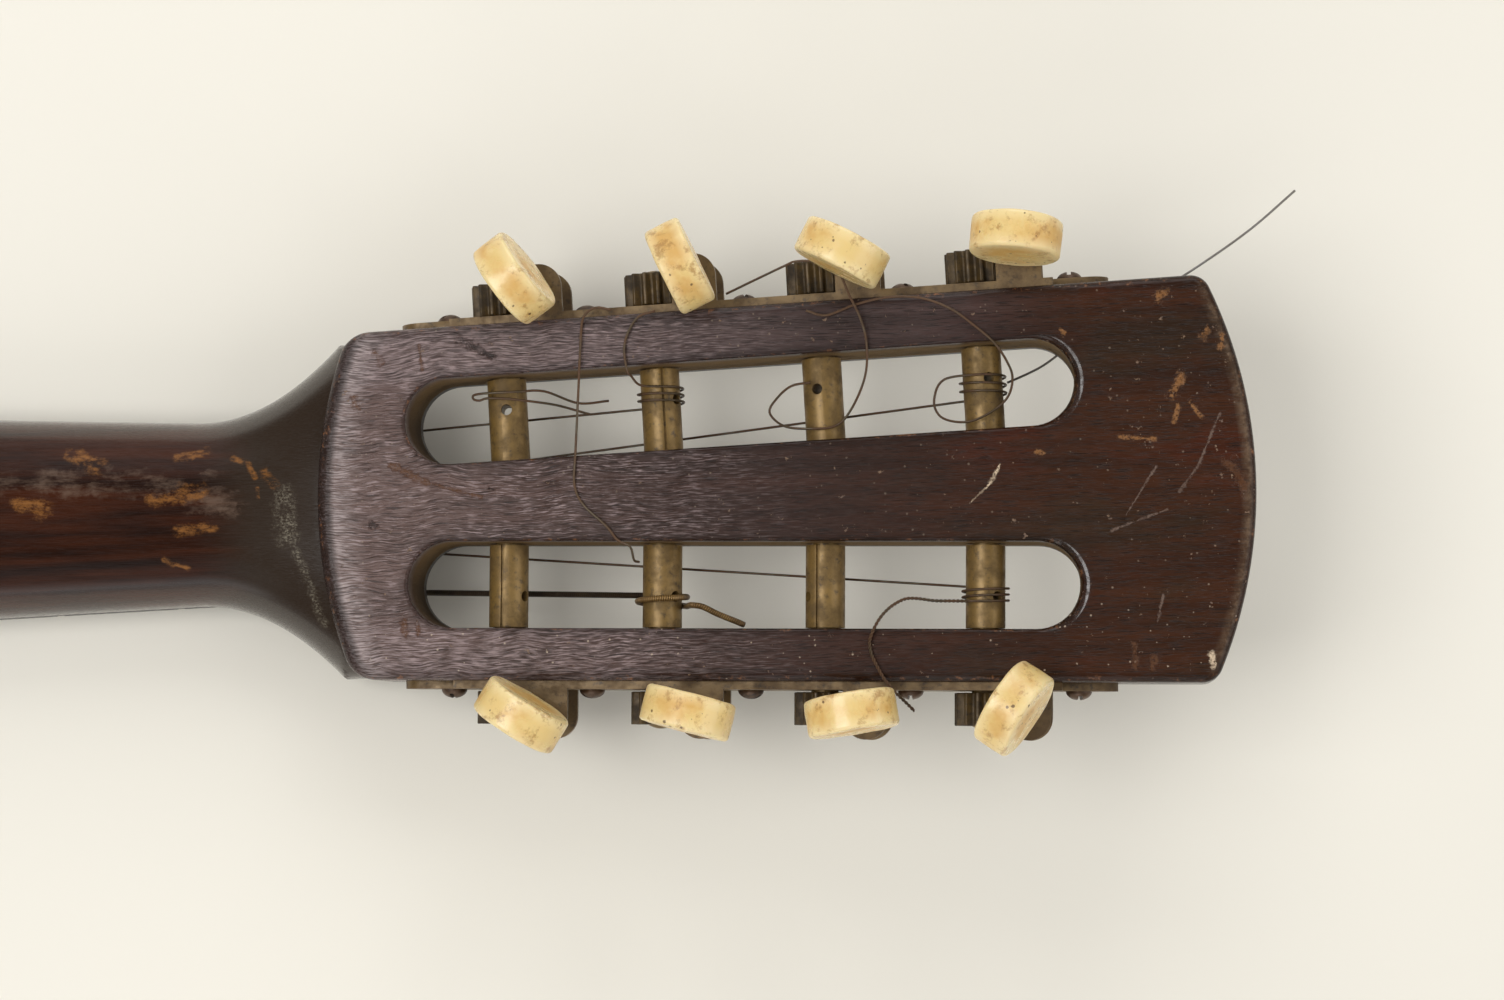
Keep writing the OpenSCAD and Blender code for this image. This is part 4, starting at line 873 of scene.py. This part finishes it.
def neckLines():
    f = neckForm
    tilt, thick = headFrame["tilt"], headFrame["thick"]
    headX, headZ, radius = headFrame["x"] - rowShift, headFrame["z"], headForm["radius"]
    crestX, crestZ = headX - thick * math.sin(tilt), headZ + thick * math.cos(tilt)
    centre = cornerCentre(headForm["crestCorner"], -1)
    corner, (endX, endY) = headForm["crestCorner"], f["flareEnd"]
    wallX = endX + f["wallPast"]
    rise = endY - f["nutWide"] / 2 + endX * f["taper"] / 2

    def ringPoint(x, a):
        line = f["nutWide"] / 2 - x * f["taper"] / 2
        heel = (max(0.0, f["joint"] + f["heel"] - x) / f["heel"]) ** f["heelCurve"]
        scoop = min(1.0, max(0.0, x + f["scoopFrom"]) / (crestX + f["scoopFrom"]))
        flare = rise * min(1.0, max(0.0, x + f["flareFrom"]) / (endX + f["flareFrom"])) ** 2
        atJoint = f["nutWide"] / 2 - f["joint"] * f["taper"] / 2
        half = line + flare + heel * (f["bodyNeck"] / 2 - 1 - atJoint)
        plain = f["depth"] - x * f["deepen"]
        top = crestZ + (max(x, crestX) - crestX) * math.tan(tilt) - f["crestDrop"] - f["flat"]
        drop = plain + scoop ** f["scoopCurve"] * (top - plain) + heel * (f["bodyDepth"] - f["backThick"] - plain)
        n = 2 / (f["round"] + f["rounder"] * scoop)
        c, s = math.cos(a), max(0.0, math.sin(a))
        return Vector((x, half * math.copysign(abs(c) ** n, c), f["flat"] + drop * s ** n))

    def inside(p):
        u = (p.x - headX) * math.cos(tilt) + (p.z - headZ) * math.sin(tilt)
        if abs(p.y) > centre.y:
            return (u - centre.x) ** 2 + (abs(p.y) - centre.y) ** 2 < corner ** 2
        return (u - radius) ** 2 + p.y ** 2 < radius ** 2

    turns = [math.pi * k / f["sides"] for k in range(f["sides"] + 1)]
    ends = []
    for a in turns:
        low, high = -f["scoopFrom"], wallX
        for i in range(40):
            middle = (low + high) / 2
            low, high = (low, middle) if inside(ringPoint(middle, a)) else (middle, high)
        ends.append(min(low + f["buried"], wallX))
    heelTo, evenTo = f["joint"] + f["heel"], f["evenTo"]
    stations = [f["joint"] + f["heel"] * i / f["heelSteps"] for i in range(f["heelSteps"])]
    stations += [heelTo + (evenTo - heelTo) * i / f["evenSteps"] for i in range(f["evenSteps"])]
    rings = [[ringPoint(x, a) for a in turns] for x in stations]
    for i in range(f["scoopSteps"] + 1):
        share = i / f["scoopSteps"]
        rings.append([ringPoint(evenTo + (end - evenTo) * share, a) for a, end in zip(turns, ends)])
    return rings


def makeNeck():
    rings = neckLines()
    count = len(rings[0])
    points = [Vector((p.x + rowShift, p.y, p.z)) * mm for ring in rings for p in ring]
    faces = ringFaces(len(rings), count)
    for start in (0, (len(rings) - 1) * count):
        points.append(sum((points[start + k] for k in range(count)), Vector()) / count)
        faces += [(start + k, len(points) - 1, start + (k + 1) % count) for k in range(count)]
    mesh = setMesh("neck_wood", points, faces)
    outward(mesh)
    setValues(mesh, "flank", [1 - normal.vector.z for normal in mesh.vertex_normals])
    smoothed(mesh, 50)
    newPiece("neck_wood", mesh, neckWood, slot="neck_wood", stands=["neck"])
    print("neck shaped:", len(mesh.polygons), "faces")


makeNeck()

# bone buttons: thick discs on edge, each turned as it was left
buttonForm = {
    "wide": 13.1, "thick": 5.4, "round": 0.6, "middle": 23.15, "x": 5.6, "y": 5.1, "bend": 13.4, "around": 72,
    "bulge": 0.05, "bulgeTo": 5.4, "bulgeAt": (1.6, 3.0, 4.4), "belly": 0.03, "bellyAt": 0.8, "roundSteps": 8,
    "upper": (-58, -68, -30, -9), "lower": (32, 14, -10, -57),
    "upperLean": ((-1.2, 0.1), (0.1, 0.2), (-0.5, 0.5), (1, 0.9)),
    "lowerLean": ((-1.1, 0), (0.1, -0.4), (-0.5, -0.4), (-0.9, -1.2)),
}


# a place on a bent stem, from its place on a straight one about the worm axis
def onStem(side, k, p):
    f = buttonForm
    lean = Vector((f["upperLean"] if side > 0 else f["lowerLean"])[k])
    turn = Matrix.Rotation(math.atan2(lean.length, f["middle"] - f["bend"]), 3, Vector((-lean.y, lean.x, 0)))
    q = turn @ (p - Vector((0, 0, f["bend"]))) if p.z > f["bend"] else p - Vector((0, 0, f["bend"]))
    return onSide(side, rollerAt(side, k) + f["x"] + q.x, f["y"] + q.y, f["bend"] + q.z)


def makeButton(side, k):
    f = buttonForm
    name = tunerName(side, k)
    turn = math.radians((f["upper"] if side > 0 else f["lower"])[k])
    c, s = math.cos(turn), math.sin(turn)
    seed = Vector((3.1 * k, 7.7 * side, 1.9))
    face, edge = f["thick"] / 2, f["wide"] / 2
    profile = [(r, face + f["bulge"] * (1 - (r / f["bulgeTo"]) ** 2)) for r in (0.0,) + f["bulgeAt"]]
    for j in range(f["roundSteps"] + 1):
        a = math.pi / 2 * j / f["roundSteps"]
        profile.append((edge - f["round"] * (1 - math.sin(a)), face - f["round"] * (1 - math.cos(a))))
    profile += [(edge + f["belly"], y) for y in (f["bellyAt"], 0.0)]
    profile += [(r, -y) for r, y in profile[-2::-1]]
    points, faces, rim = [], [], []
    for i in range(f["around"]):
        a = 2 * math.pi * i / f["around"]
        for r, y in profile[1:-1]:
            p = Vector((r * math.cos(a), y, r * math.sin(a)))
            wobble = 1 + 0.012 * noise.noise(p * 0.22 + seed) + 0.004 * noise.noise(p * 0.9 + seed)
            p = Vector((p.x * wobble, p.y * (1 + 0.03 * noise.noise(p * 0.3 + seed * 2)), p.z * wobble))
            points.append(onStem(side, k, Vector((p.x * c - p.y * s, p.x * s + p.y * c, f["middle"] + p.z))))
            rim.append(min(1.0, max(0.0, (abs(y) - 1.1) / 1.2)) * min(1.0, max(0.0, (r - 3.4) / 2.4)))
    count = len(profile) - 2
    for i in range(f["around"]):
        for j in range(count - 1):
            a, b = i * count + j, ((i + 1) % f["around"]) * count + j
            faces.append((a, b, b + 1, a + 1))
    for end in (0, count - 1):
        points.append(sum((points[i * count + end] for i in range(f["around"])), Vector()) / f["around"])
        rim.append(0.0)
        faces += [(i * count + end, len(points) - 1, ((i + 1) % f["around"]) * count + end) for i in range(f["around"])]
    mesh = setMesh("bone_button_" + name, points, faces)
    setValues(mesh, "rim", rim)
    outward(mesh)
    newPiece(mesh.name, mesh, bone, "peg_" + name, "bone", ["button_" + name])


# worms: a raised thread round a thin core, carried up between the tabs to the stem
wormForm = {
    "core": 0.85, "crest": 1.75, "pitch": 1.8064, "low": 3.15, "high": 11.85, "foot": 1.5, "stem": 1.2,
    "bend": 13.4, "top": 1.0, "stemTop": 23.6, "around": 28, "rows": 70, "runIn": 4, "half": 0.3, "slope": 0.16,
}


def makeWorm(side, k):
    f = wormForm
    name, count, runIn = tunerName(side, k), f["rows"], f["runIn"]
    rows = [(f["foot"], 0.0, f["core"] - 0.1), (f["foot"] + 0.1, 0.0, f["core"]), (f["low"] - 0.02, 0.0, f["core"])]
    rows += [(f["low"] + (f["high"] - f["low"]) * i / count, min(1.0, i / runIn, (count - i) / runIn), f["core"])
             for i in range(count + 1)]
    rows += [(f["high"] + 0.02, 0.0, f["stem"]), (f["bend"], 0.0, f["stem"])]
    rows += [(f["bend"] + 0.01, 0.0, f["top"]), (f["stemTop"], 0.0, f["top"])]
    points = []
    for z, share, core in rows:
        for i in range(f["around"]):
            a = 2 * math.pi * i / f["around"]
            phase = ((a - 2 * math.pi * (z - headFrame["axis"]) / f["pitch"]) / (2 * math.pi) + 0.5) % 1 - 0.5
            ridge = min(1.0, max(0.0, (f["half"] - abs(phase)) / f["slope"]))
            r = core + share * ridge * (f["crest"] - f["core"])
            points.append(onStem(side, k, Vector((r * math.cos(a), r * math.sin(a), z))))
    last = (len(rows) - 1) * f["around"]
    faces = ringFaces(len(rows), f["around"])
    faces += [tuple(range(f["around"] - 1, -1, -1)), tuple(range(last, last + f["around"]))]
    mesh = setMesh("worm_thread_" + name, points, faces)
    outward(mesh)
    smoothed(mesh, 60)
    newPiece(mesh.name, mesh, wormSteel, "peg_" + name, "worm_steel", ["worm_" + name])


# a merged copy of a CAD node with its hard edges eased
def softened(node, finish, width, body="instrument", slot=None, angle=40):
    mesh = nodes[node].data.copy()
    mesh.name = node + "_eased"
    work = bmesh.new()
    work.from_mesh(mesh)
    bmesh.ops.remove_doubles(work, verts=work.verts, dist=1e-6)
    bmesh.ops.dissolve_limit(work, angle_limit=math.radians(1), verts=work.verts, edges=work.edges)
    work.to_mesh(mesh)
    work.free()
    piece = newPiece(mesh.name, mesh, finish, body, slot, [node])
    bevel = piece.modifiers.new("easedEdges", "BEVEL")
    bevel.width = width * mm
    bevel.segments = 2
    bevel.limit_method = "ANGLE"
    bevel.angle_limit = math.radians(angle)
    smoothed(mesh, 35)


def dress(node, finish):
    mesh = nodes[node].data
    mesh.materials.clear()
    mesh.materials.append(finish)


# a node tree with named inputs, between a group input and a group output
def newTree(name, inputs):
    tree = bpy.data.node_groups.new(name, "GeometryNodeTree")
    tree.interface.new_socket("Geometry", in_out="INPUT", socket_type="NodeSocketGeometry")
    sockets = {title: tree.interface.new_socket(title, in_out="INPUT", socket_type="NodeSocket" + kind).identifier
               for title, kind in inputs}
    tree.interface.new_socket("Geometry", in_out="OUTPUT", socket_type="NodeSocketGeometry")
    return tree, sockets, tree.nodes.new("NodeGroupInput").outputs, tree.nodes.new("NodeGroupOutput").inputs


# the tree's result as a plain mesh
def grown(name, base, tree, sockets, values, finish, slot, stands):
    seedling = bpy.data.objects.new(name + "_base", base)
    scene.collection.objects.link(seedling)
    modifier = seedling.modifiers.new("grow", "NODES")
    modifier.node_group = tree
    for title, value in values.items():
        modifier[sockets[title]] = value
    mesh = bpy.data.meshes.new_from_object(seedling.evaluated_get(bpy.context.evaluated_depsgraph_get()))
    mesh.name = name
    seedling.modifiers.remove(modifier)
    bpy.data.objects.remove(seedling)
    smoothed(mesh, 38)
    newPiece(name, mesh, finish, slot=slot, stands=stands)
    print(name, "grown:", len(mesh.polygons), "faces")


# instances on points made real, with their finish, to the tree's output
def spreadOut(tree, points, instance, finish, out, **turn):
    spread = addNode(tree, "GeometryNodeInstanceOnPoints", dict(turn, Points=points, Instance=instance))
    real = addNode(tree, "GeometryNodeRealizeInstances", {0: spread.outputs[0]})
    done = addNode(tree, "GeometryNodeSetMaterial", {0: real.outputs[0], "Material": finish})
    tree.links.new(done.outputs[0], out)


screwForm = {"wide": 3.8, "high": 1.3, "slotWide": 0.6, "slotDeep": 0.6, "seed": 7, "plate": 1.2,
             "places": (19.4, 40.0, 63.5, 87.0, 111.5)}


def screwTree():
    tree, sockets, i, o = newTree("slottedScrews", [
        ("Head Width", "Float"), ("Head Height", "Float"), ("Slot Width", "Float"), ("Slot Depth", "Float"),
        ("Seed", "Int"), ("Finish", "Material")])
    half = times(tree, i["Head Width"], 0.5)
    ball = addNode(tree, "GeometryNodeMeshUVSphere", {"Segments": 40, "Rings": 24, "Radius": 1.0})
    size = packed(tree, half, half, i["Head Height"])
    dome = addNode(tree, "GeometryNodeTransform", {0: ball.outputs[0], "Scale": size})
    block = packed(tree, i["Slot Width"], times(tree, i["Head Width"], 2.0), times(tree, i["Slot Depth"], 2.0))
    cut = addNode(tree, "GeometryNodeMeshCube", {"Size": block})
    lift = packed(tree, z=i["Head Height"])
    slot = addNode(tree, "GeometryNodeTransform", {0: cut.outputs[0], "Translation": lift})
    head = addNode(tree, "GeometryNodeMeshBoolean", {0: dome.outputs[0], 1: slot.outputs[0]}, operation="DIFFERENCE")
    way = addNode(tree, "GeometryNodeInputNamedAttribute", {0: "way"}, data_type="FLOAT_VECTOR")
    facing = addNode(tree, "FunctionNodeAlignRotationToVector", {"Vector": way.outputs[0]}, axis="Z")
    chance = addNode(tree, "FunctionNodeRandomValue", {2: 0.0, 3: math.pi, "Seed": i["Seed"]}, data_type="FLOAT")
    spin = addNode(tree, "FunctionNodeEulerToRotation", {0: packed(tree, z=chance.outputs[1])})
    turned = addNode(tree, "FunctionNodeRotateRotation", {0: facing.outputs[0], 1: spin.outputs[0]},
                     rotation_space="LOCAL")
    spreadOut(tree, i["Geometry"], head.outputs[0], i["Finish"], o[0], Rotation=turned.outputs[0])
    return tree, sockets


def makeScrews():
    f = screwForm
    places, ways = [], []
    for side in (1, -1):
        for x in f["places"]:
            x += 0.0 if side > 0 else headFrame["lowerShift"]
            root, tip = [onSide(side, x, y, headFrame["axis"]) for y in (f["plate"], f["plate"] + 1)]
            places.append(root)
            ways += list((tip - root).normalized())
    base = setMesh("screw_places", places, [])
    base.attributes.new("way", "FLOAT_VECTOR", "POINT").data.foreach_set("vector", ways)
    tree, sockets = screwTree()
    grown("plate_screw_heads", base, tree, sockets, {
        "Head Width": f["wide"] * mm, "Head Height": f["high"] * mm, "Slot Width": f["slotWide"] * mm,
        "Slot Depth": f["slotDeep"] * mm, "Seed": f["seed"], "Finish": screwBrass,
    }, screwBrass, "aged_brass", ["plate_screws"])


fretForm = {"count": 17, "scale": 340.0, "nutWide": 26.4, "taper": 0.072, "crown": 1.1, "level": 2.75, "inset": 0.3,
            "samples": 48, "around": 20, "filed": 22.0}


# each fret at the next twelfth root of two, as long as the board is wide there, with filed ends
def fretTree():
    tree, sockets, i, o = newTree("fretRow", [
        ("Count", "Int"), ("Scale Length", "Float"), ("Nut Half Width", "Float"), ("Taper", "Float"),
        ("Crown", "Float"), ("Start", "Vector"), ("Finish", "Material")])
    row = addNode(tree, "GeometryNodeMeshLine", {"Count": i["Count"]})
    step = calc(tree, "DIVIDE", calc(tree, "ADD", addNode(tree, "GeometryNodeInputIndex").outputs[0], 1.0), -12.0)
    reach = times(tree, calc(tree, "SUBTRACT", calc(tree, "POWER", 2.0, step), 1.0), i["Scale Length"])
    place = vecCalc(tree, "ADD", packed(tree, reach), i["Start"])[0]
    laid = addNode(tree, "GeometryNodeSetPosition", {0: row.outputs[0], "Position": place})
    line = addNode(tree, "GeometryNodeCurvePrimitiveLine", {"Start": (0, -0.5, 0), "End": (0, 0.5, 0)})
    fine = addNode(tree, "GeometryNodeResampleCurve", {0: line.outputs[0], "Count": fretForm["samples"]})
    along = addNode(tree, "GeometryNodeSplineParameter").outputs["Factor"]
    end = calc(tree, "SUBTRACT", 0.5, calc(tree, "ABSOLUTE", calc(tree, "SUBTRACT", along, 0.5)))
    filed = calc(tree, "MINIMUM", calc(tree, "ADD", times(tree, end, fretForm["filed"]), 0.5), 1.0)
    shaped = addNode(tree, "GeometryNodeSetCurveRadius", {0: fine.outputs[0], "Radius": filed})
    ring = addNode(tree, "GeometryNodeCurvePrimitiveCircle", {"Resolution": fretForm["around"], "Radius": i["Crown"]})
    bar = addNode(tree, "GeometryNodeCurveToMesh", {0: shaped.outputs[0], 1: ring.outputs[0], "Fill Caps": True})
    if "Scale" in bar.inputs:
        tree.links.new(filed, bar.inputs["Scale"])
    wide = calc(tree, "SUBTRACT", i["Nut Half Width"], times(tree, reach, i["Taper"], 0.5))
    size = packed(tree, 1.0, times(tree, wide, 2.0), 1.0)
    spreadOut(tree, laid.outputs[0], bar.outputs[0], i["Finish"], o[0], Scale=size)
    return tree, sockets


def makeFrets():
    f = fretForm
    tree, sockets = fretTree()
    grown("fret_row", setMesh("fret_base", [(0, 0, 0)], []), tree, sockets, {
        "Count": f["count"], "Scale Length": f["scale"] * mm, "Nut Half Width": (f["nutWide"] / 2 - f["inset"]) * mm,
        "Taper": f["taper"], "Crown": f["crown"] * mm, "Start": (rowShift * mm, 0.0, f["level"] * mm),
        "Finish": fretBrass,
    }, fretBrass, "brass_wire", ["frets"])


makeScrews()
makeFrets()

for side, sideName in ((1, "upper"), (-1, "lower")):
    for k in range(4):
        tuner = tunerName(side, k)
        makeButton(side, k)
        makeWorm(side, k)
        softened("roller_" + tuner, rollerBrass, 0.15, "shaft_" + tuner, "roller_brass", 50)
        softened("gear_" + tuner, gearBrass, 0.12, "shaft_" + tuner, "gear_brass", 30)
    softened("tuner_plate_" + sideName, plateBrass, 0.18, slot="aged_brass", angle=50)
print("tuners dressed")

for node, finish, width, slot in (("fingerboard", darkBoard, 0.4, "dark_board"), ("nut", bone, 0.25, "bone"),
                                  ("bridge", darkBoard, 0.5, "dark_board"), ("bridge_saddle", bone, 0.25, "bone"),
                                  ("tailpiece", plateBrass, 0.2, "aged_brass")):
    softened(node, finish, width, slot=slot)
for node, finish in (("head_veneer", darkVeneer), ("soundboard", spruce), ("rosette", darkBoard),
                     ("soundboard_binding", binding), ("back", bodyWood), ("back_binding", binding),
                     ("ribs", bodyWood), ("linings", innerWood), ("neck_block", innerWood),
                     ("tail_block", innerWood), ("soundboard_braces", spruce), ("back_braces", spruce),
                     ("tailpiece_screws", screwBrass)):
    dress(node, finish)
print("other pieces dressed")

# pale floor
floorLook = {"pale": shade(233, 229, 218), "half": 1.6}


def makeFloor():
    h = floorLook["half"]
    mesh = setMesh("floor", [(-h, -h, 0), (h, -h, 0), (h, h, 0), (-h, h, 0)], [(0, 1, 2, 3)], False)
    floor = bpy.data.objects.new("floor", mesh)
    scene.collection.objects.link(floor)
    finish, _, shader, _ = newFinish("paleFloor", 0.85, specular=0.2)
    shader.inputs["Base Color"].default_value = floorLook["pale"]
    mesh.materials.append(finish)


makeFloor()

# large soft lamps, directions in the frame of the head, and even surroundings
lampPlan = {
    "key": {"from": (-0.39, -0.03, 0.92), "far": 1.15, "size": 0.6, "light": 0.42},
    "top": {"from": (0.1, 0.8, 0.45), "far": 1.2, "size": 0.9, "light": 0.23},
    "low": {"from": (-0.1, -0.8, 0.4), "far": 1.2, "size": 0.9, "light": 0.12},
    "tip": {"from": (0.85, -0.1, 0.4), "far": 1.2, "size": 0.9, "light": 0.17},
    "fill": 0.34, "sky": shade(255, 253, 250), "aim": (60, 0, 10),
}


def makeLamps():
    aim = inHead(*lampPlan["aim"])
    for name in ("key", "top", "low", "tip"):
        plan = lampPlan[name]
        data = bpy.data.lights.new(name, "AREA")
        data.size = plan["size"]
        way = headTurn(Vector(plan["from"]).normalized())
        data.energy = plan["light"] * (math.pi * plan["far"]) ** 2 / way.z
        lamp = bpy.data.objects.new(name, data)
        scene.collection.objects.link(lamp)
        turn = way.to_track_quat("Z", "Y").to_matrix().to_4x4()
        lamp.matrix_world = Matrix.Translation(aim + way * plan["far"]) @ turn
    world = bpy.data.worlds.new("studio")
    world.use_nodes = True
    backdrop = world.node_tree.nodes["Background"].inputs
    backdrop[0].default_value = lampPlan["sky"]
    backdrop[1].default_value = lampPlan["fill"]
    scene.world = world


makeLamps()
print("lamps set")
